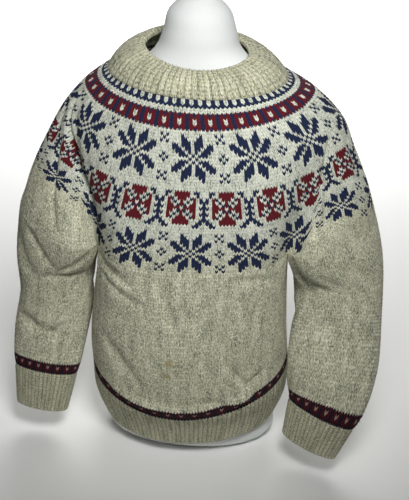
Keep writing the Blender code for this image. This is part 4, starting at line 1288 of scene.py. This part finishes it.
class SWEATER_OT_knit_sleeves(Operator):
    """Knit both plain sleeves, decreasing towards the cuffs"""

    bl_idname = "sweater.knit_sleeves"
    bl_label = "Knit Sleeves"

    def execute(self, context):
        gauge = context.scene.sweater_gauge
        _, left, _, right, under_left, under_right = join_pieces()
        sides = (
            ("left", LEFT_SLEEVE, LEFT_FOLDS, left, under_left[::-1], LEFT_CUFF_LENGTH),
            ("right", RIGHT_SLEEVE, RIGHT_FOLDS, right[::-1] * MIRROR, under_right * MIRROR,
             RIGHT_CUFF_LENGTH),
        )
        for side, table, folds, outer, under, cuff_length in sides:
            cloth = sleeve_cloth(table, folds, outer, under)
            cuff = cuff_cloth(table, cuff_length, cloth.points[-1])
            if side == "right":
                cloth, cuff = cloth.mirrored(), cuff.mirrored()
            random = np.random.default_rng(SEEDS[side])
            rows = int(round(cloth.drop / gauge.row_height))
            plain_rows = rows - len(EDGE_BAND)
            piece, start, first_row = Piece(), 0.0, SLEEVE_FIRST_ROW + SEEDS[side]
            for part, (share, stitches) in enumerate(SLEEVE_BANDS):
                count = int(round(plain_rows * share))
                end = start + count / rows if part < len(SLEEVE_BANDS) - 1 else 1.0 - len(EDGE_BAND) / rows
                knit_band(piece, cloth, np.zeros((count, 1), int), stitches, start, end, first_row, random)
                start, first_row = end, first_row + count
            knit_band(piece, cloth, EDGE_CELL, SLEEVE_BANDS[-1][1], start, 1.0, first_row, random)
            name = "sleeve_" + side + "_knit"
            declare(piece.make(name, edge_yarns("ragg_wool")), "sleeve_" + side)
            knit_rib("cuff_" + side + "_rib", "cuff_" + side, cuff, gauge.cuff_ribs, random)
        return {"FINISHED"}


class SWEATER_OT_knit_hem(Operator):
    """Knit the ribbed hem"""

    bl_idname = "sweater.knit_hem"
    bl_label = "Knit Hem"

    def execute(self, context):
        knit_rib("hem_rib_knit", "hem_rib", hem_cloth(), context.scene.sweater_gauge.hem_ribs,
                 np.random.default_rng(SEEDS["hem"]))
        return {"FINISHED"}


class SWEATER_OT_knit_collar(Operator):
    """Knit the thick ribbed collar, folded over on itself"""

    bl_idname = "sweater.knit_collar"
    bl_label = "Knit Collar"

    def execute(self, context):
        gauge = context.scene.sweater_gauge
        cloth = collar_cloth(gauge.collar_wall)
        piece = ribbed_wall(cloth, gauge.collar_ribs, gauge.collar_wall, gauge.collar_rise, True,
                            np.random.default_rng(SEEDS["collar"]))
        declare(piece.make("collar_rib", [yarn("ribbed_ragg_wool")]), "collar")
        return {"FINISHED"}


class SWEATER_OT_cover_form(Operator):
    """Cover the limbless dress form with white jersey"""

    bl_idname = "sweater.cover_form"
    bl_label = "Cover Dress Form"

    def execute(self, context):
        grid = form_grid()
        rows, columns = grid.shape[:2]
        piece = Piece()
        piece.add_grid(grid, even_shares(columns), even_shares(rows), 0)
        jersey = cotton_jersey("cotton_jersey", context.scene.sweater_colours.jersey)
        made = piece.make("dress_form_cover", [jersey])
        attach(made, "root")
        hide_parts("dress_form")
        return {"FINISHED"}


# ---------------------------------------------------------------- stage
def softbox(name, place, aim, size, spread, power):
    light = bpy.data.lights.new(name, "AREA")
    light.shape = "SQUARE"
    light.size = size
    light.spread = math.radians(spread)
    light.energy = power
    lamp = bpy.data.objects.new(name, light)
    lamp.location = place
    lamp.rotation_euler = (Vector(aim) - Vector(place)).to_track_quat("-Z", "Y").to_euler()
    bpy.context.scene.collection.objects.link(lamp)


def studio_floor(scene, colour):
    mesh = bpy.data.meshes.new("studio_floor")
    corners = [(x * FLOOR_HALF, y * FLOOR_HALF, 0.0) for x, y in ((-1, -1), (1, -1), (1, 1), (-1, 1))]
    mesh.from_pydata(corners, [], [(0, 1, 2, 3)])
    mesh.materials.append(painted_board("painted_board", colour))
    floor = bpy.data.objects.new("studio_floor", mesh)
    floor.location.z = -FLOOR_DROP
    scene.collection.objects.link(floor)


def room_light(scene, strength):
    world = bpy.data.worlds.new("even_room_light")
    world.use_nodes = True
    background = world.node_tree.nodes["Background"]
    background.inputs["Color"].default_value = (1.0, 1.0, 1.0, 1.0)
    background.inputs["Strength"].default_value = strength
    scene.world = world
    scene.view_settings.view_transform = "Standard"


def studio_camera(scene, studio):
    """The camera at the photo's viewing angle."""
    around, pitch, roll = studio.camera_round, studio.camera_pitch, studio.camera_roll
    heading = around + studio.camera_yaw
    forward = Vector((-math.sin(heading) * math.cos(pitch), math.cos(heading) * math.cos(pitch),
                      -math.sin(pitch)))
    level = Vector((math.cos(heading), math.sin(heading), 0.0))
    upward = level.cross(forward)
    right = level * math.cos(roll) + upward * math.sin(roll)
    up = upward * math.cos(roll) - level * math.sin(roll)
    data = bpy.data.cameras.new("studio_camera")
    data.lens = studio.lens
    data.sensor_width = SENSOR_WIDTH
    camera = bpy.data.objects.new("studio_camera", data)
    turn = Matrix((right, up, -forward)).transposed().to_4x4()
    place = Vector((studio.camera_distance * math.sin(around), -studio.camera_distance * math.cos(around),
                    studio.camera_height))
    camera.matrix_world = Matrix.Translation(place) @ turn
    scene.collection.objects.link(camera)
    scene.camera = camera


class SWEATER_OT_set_stage(Operator):
    """Set up the floor, the soft lights and the camera"""

    bl_idname = "sweater.set_stage"
    bl_label = "Set Stage"

    def execute(self, context):
        studio = context.scene.sweater_studio
        studio_floor(context.scene, studio.floor)
        for name, where in SOFTBOXES.items():
            softbox(name + "_softbox", *where, getattr(studio, name + "_power"))
        room_light(context.scene, studio.sky)
        studio_camera(context.scene, studio)
        return {"FINISHED"}


# ---------------------------------------------------------------- add-on
SETTINGS = {
    "sweater_gauge": SweaterGauge,
    "sweater_colours": SweaterColours,
    "sweater_studio": SweaterStudio,
}
OPERATORS = (
    SWEATER_OT_cover_form,
    SWEATER_OT_knit_yoke,
    SWEATER_OT_knit_body,
    SWEATER_OT_knit_hem,
    SWEATER_OT_knit_sleeves,
    SWEATER_OT_knit_collar,
    SWEATER_OT_set_stage,
)


class SWEATER_PT_pieces(Panel):
    """The sweater's pieces, in the order in which they are made"""

    bl_label = "Norwegian Sweater"
    bl_idname = "SWEATER_PT_pieces"
    bl_space_type = "VIEW_3D"
    bl_region_type = "UI"
    bl_category = "Sweater"

    def draw(self, context):
        for operator in OPERATORS:
            self.layout.operator(operator.bl_idname)
        for name in SETTINGS:
            settings = getattr(context.scene, name)
            box = self.layout.box()
            box.label(text=name.split("_")[1].capitalize())
            for setting in settings.__annotations__:
                box.prop(settings, setting)


CLASSES = (*SETTINGS.values(), *OPERATORS, SWEATER_PT_pieces)


def register():
    for kind in CLASSES:
        bpy.utils.register_class(kind)
    for name, kind in SETTINGS.items():
        setattr(bpy.types.Scene, name, PointerProperty(type=kind))


def unregister():
    for name in SETTINGS:
        delattr(bpy.types.Scene, name)
    for kind in reversed(CLASSES):
        bpy.utils.unregister_class(kind)


def main():
    register()
    for operator in OPERATORS:
        group, name = operator.bl_idname.split(".")
        getattr(getattr(bpy.ops, group), name)()


if __name__ == "__main__":
    main()
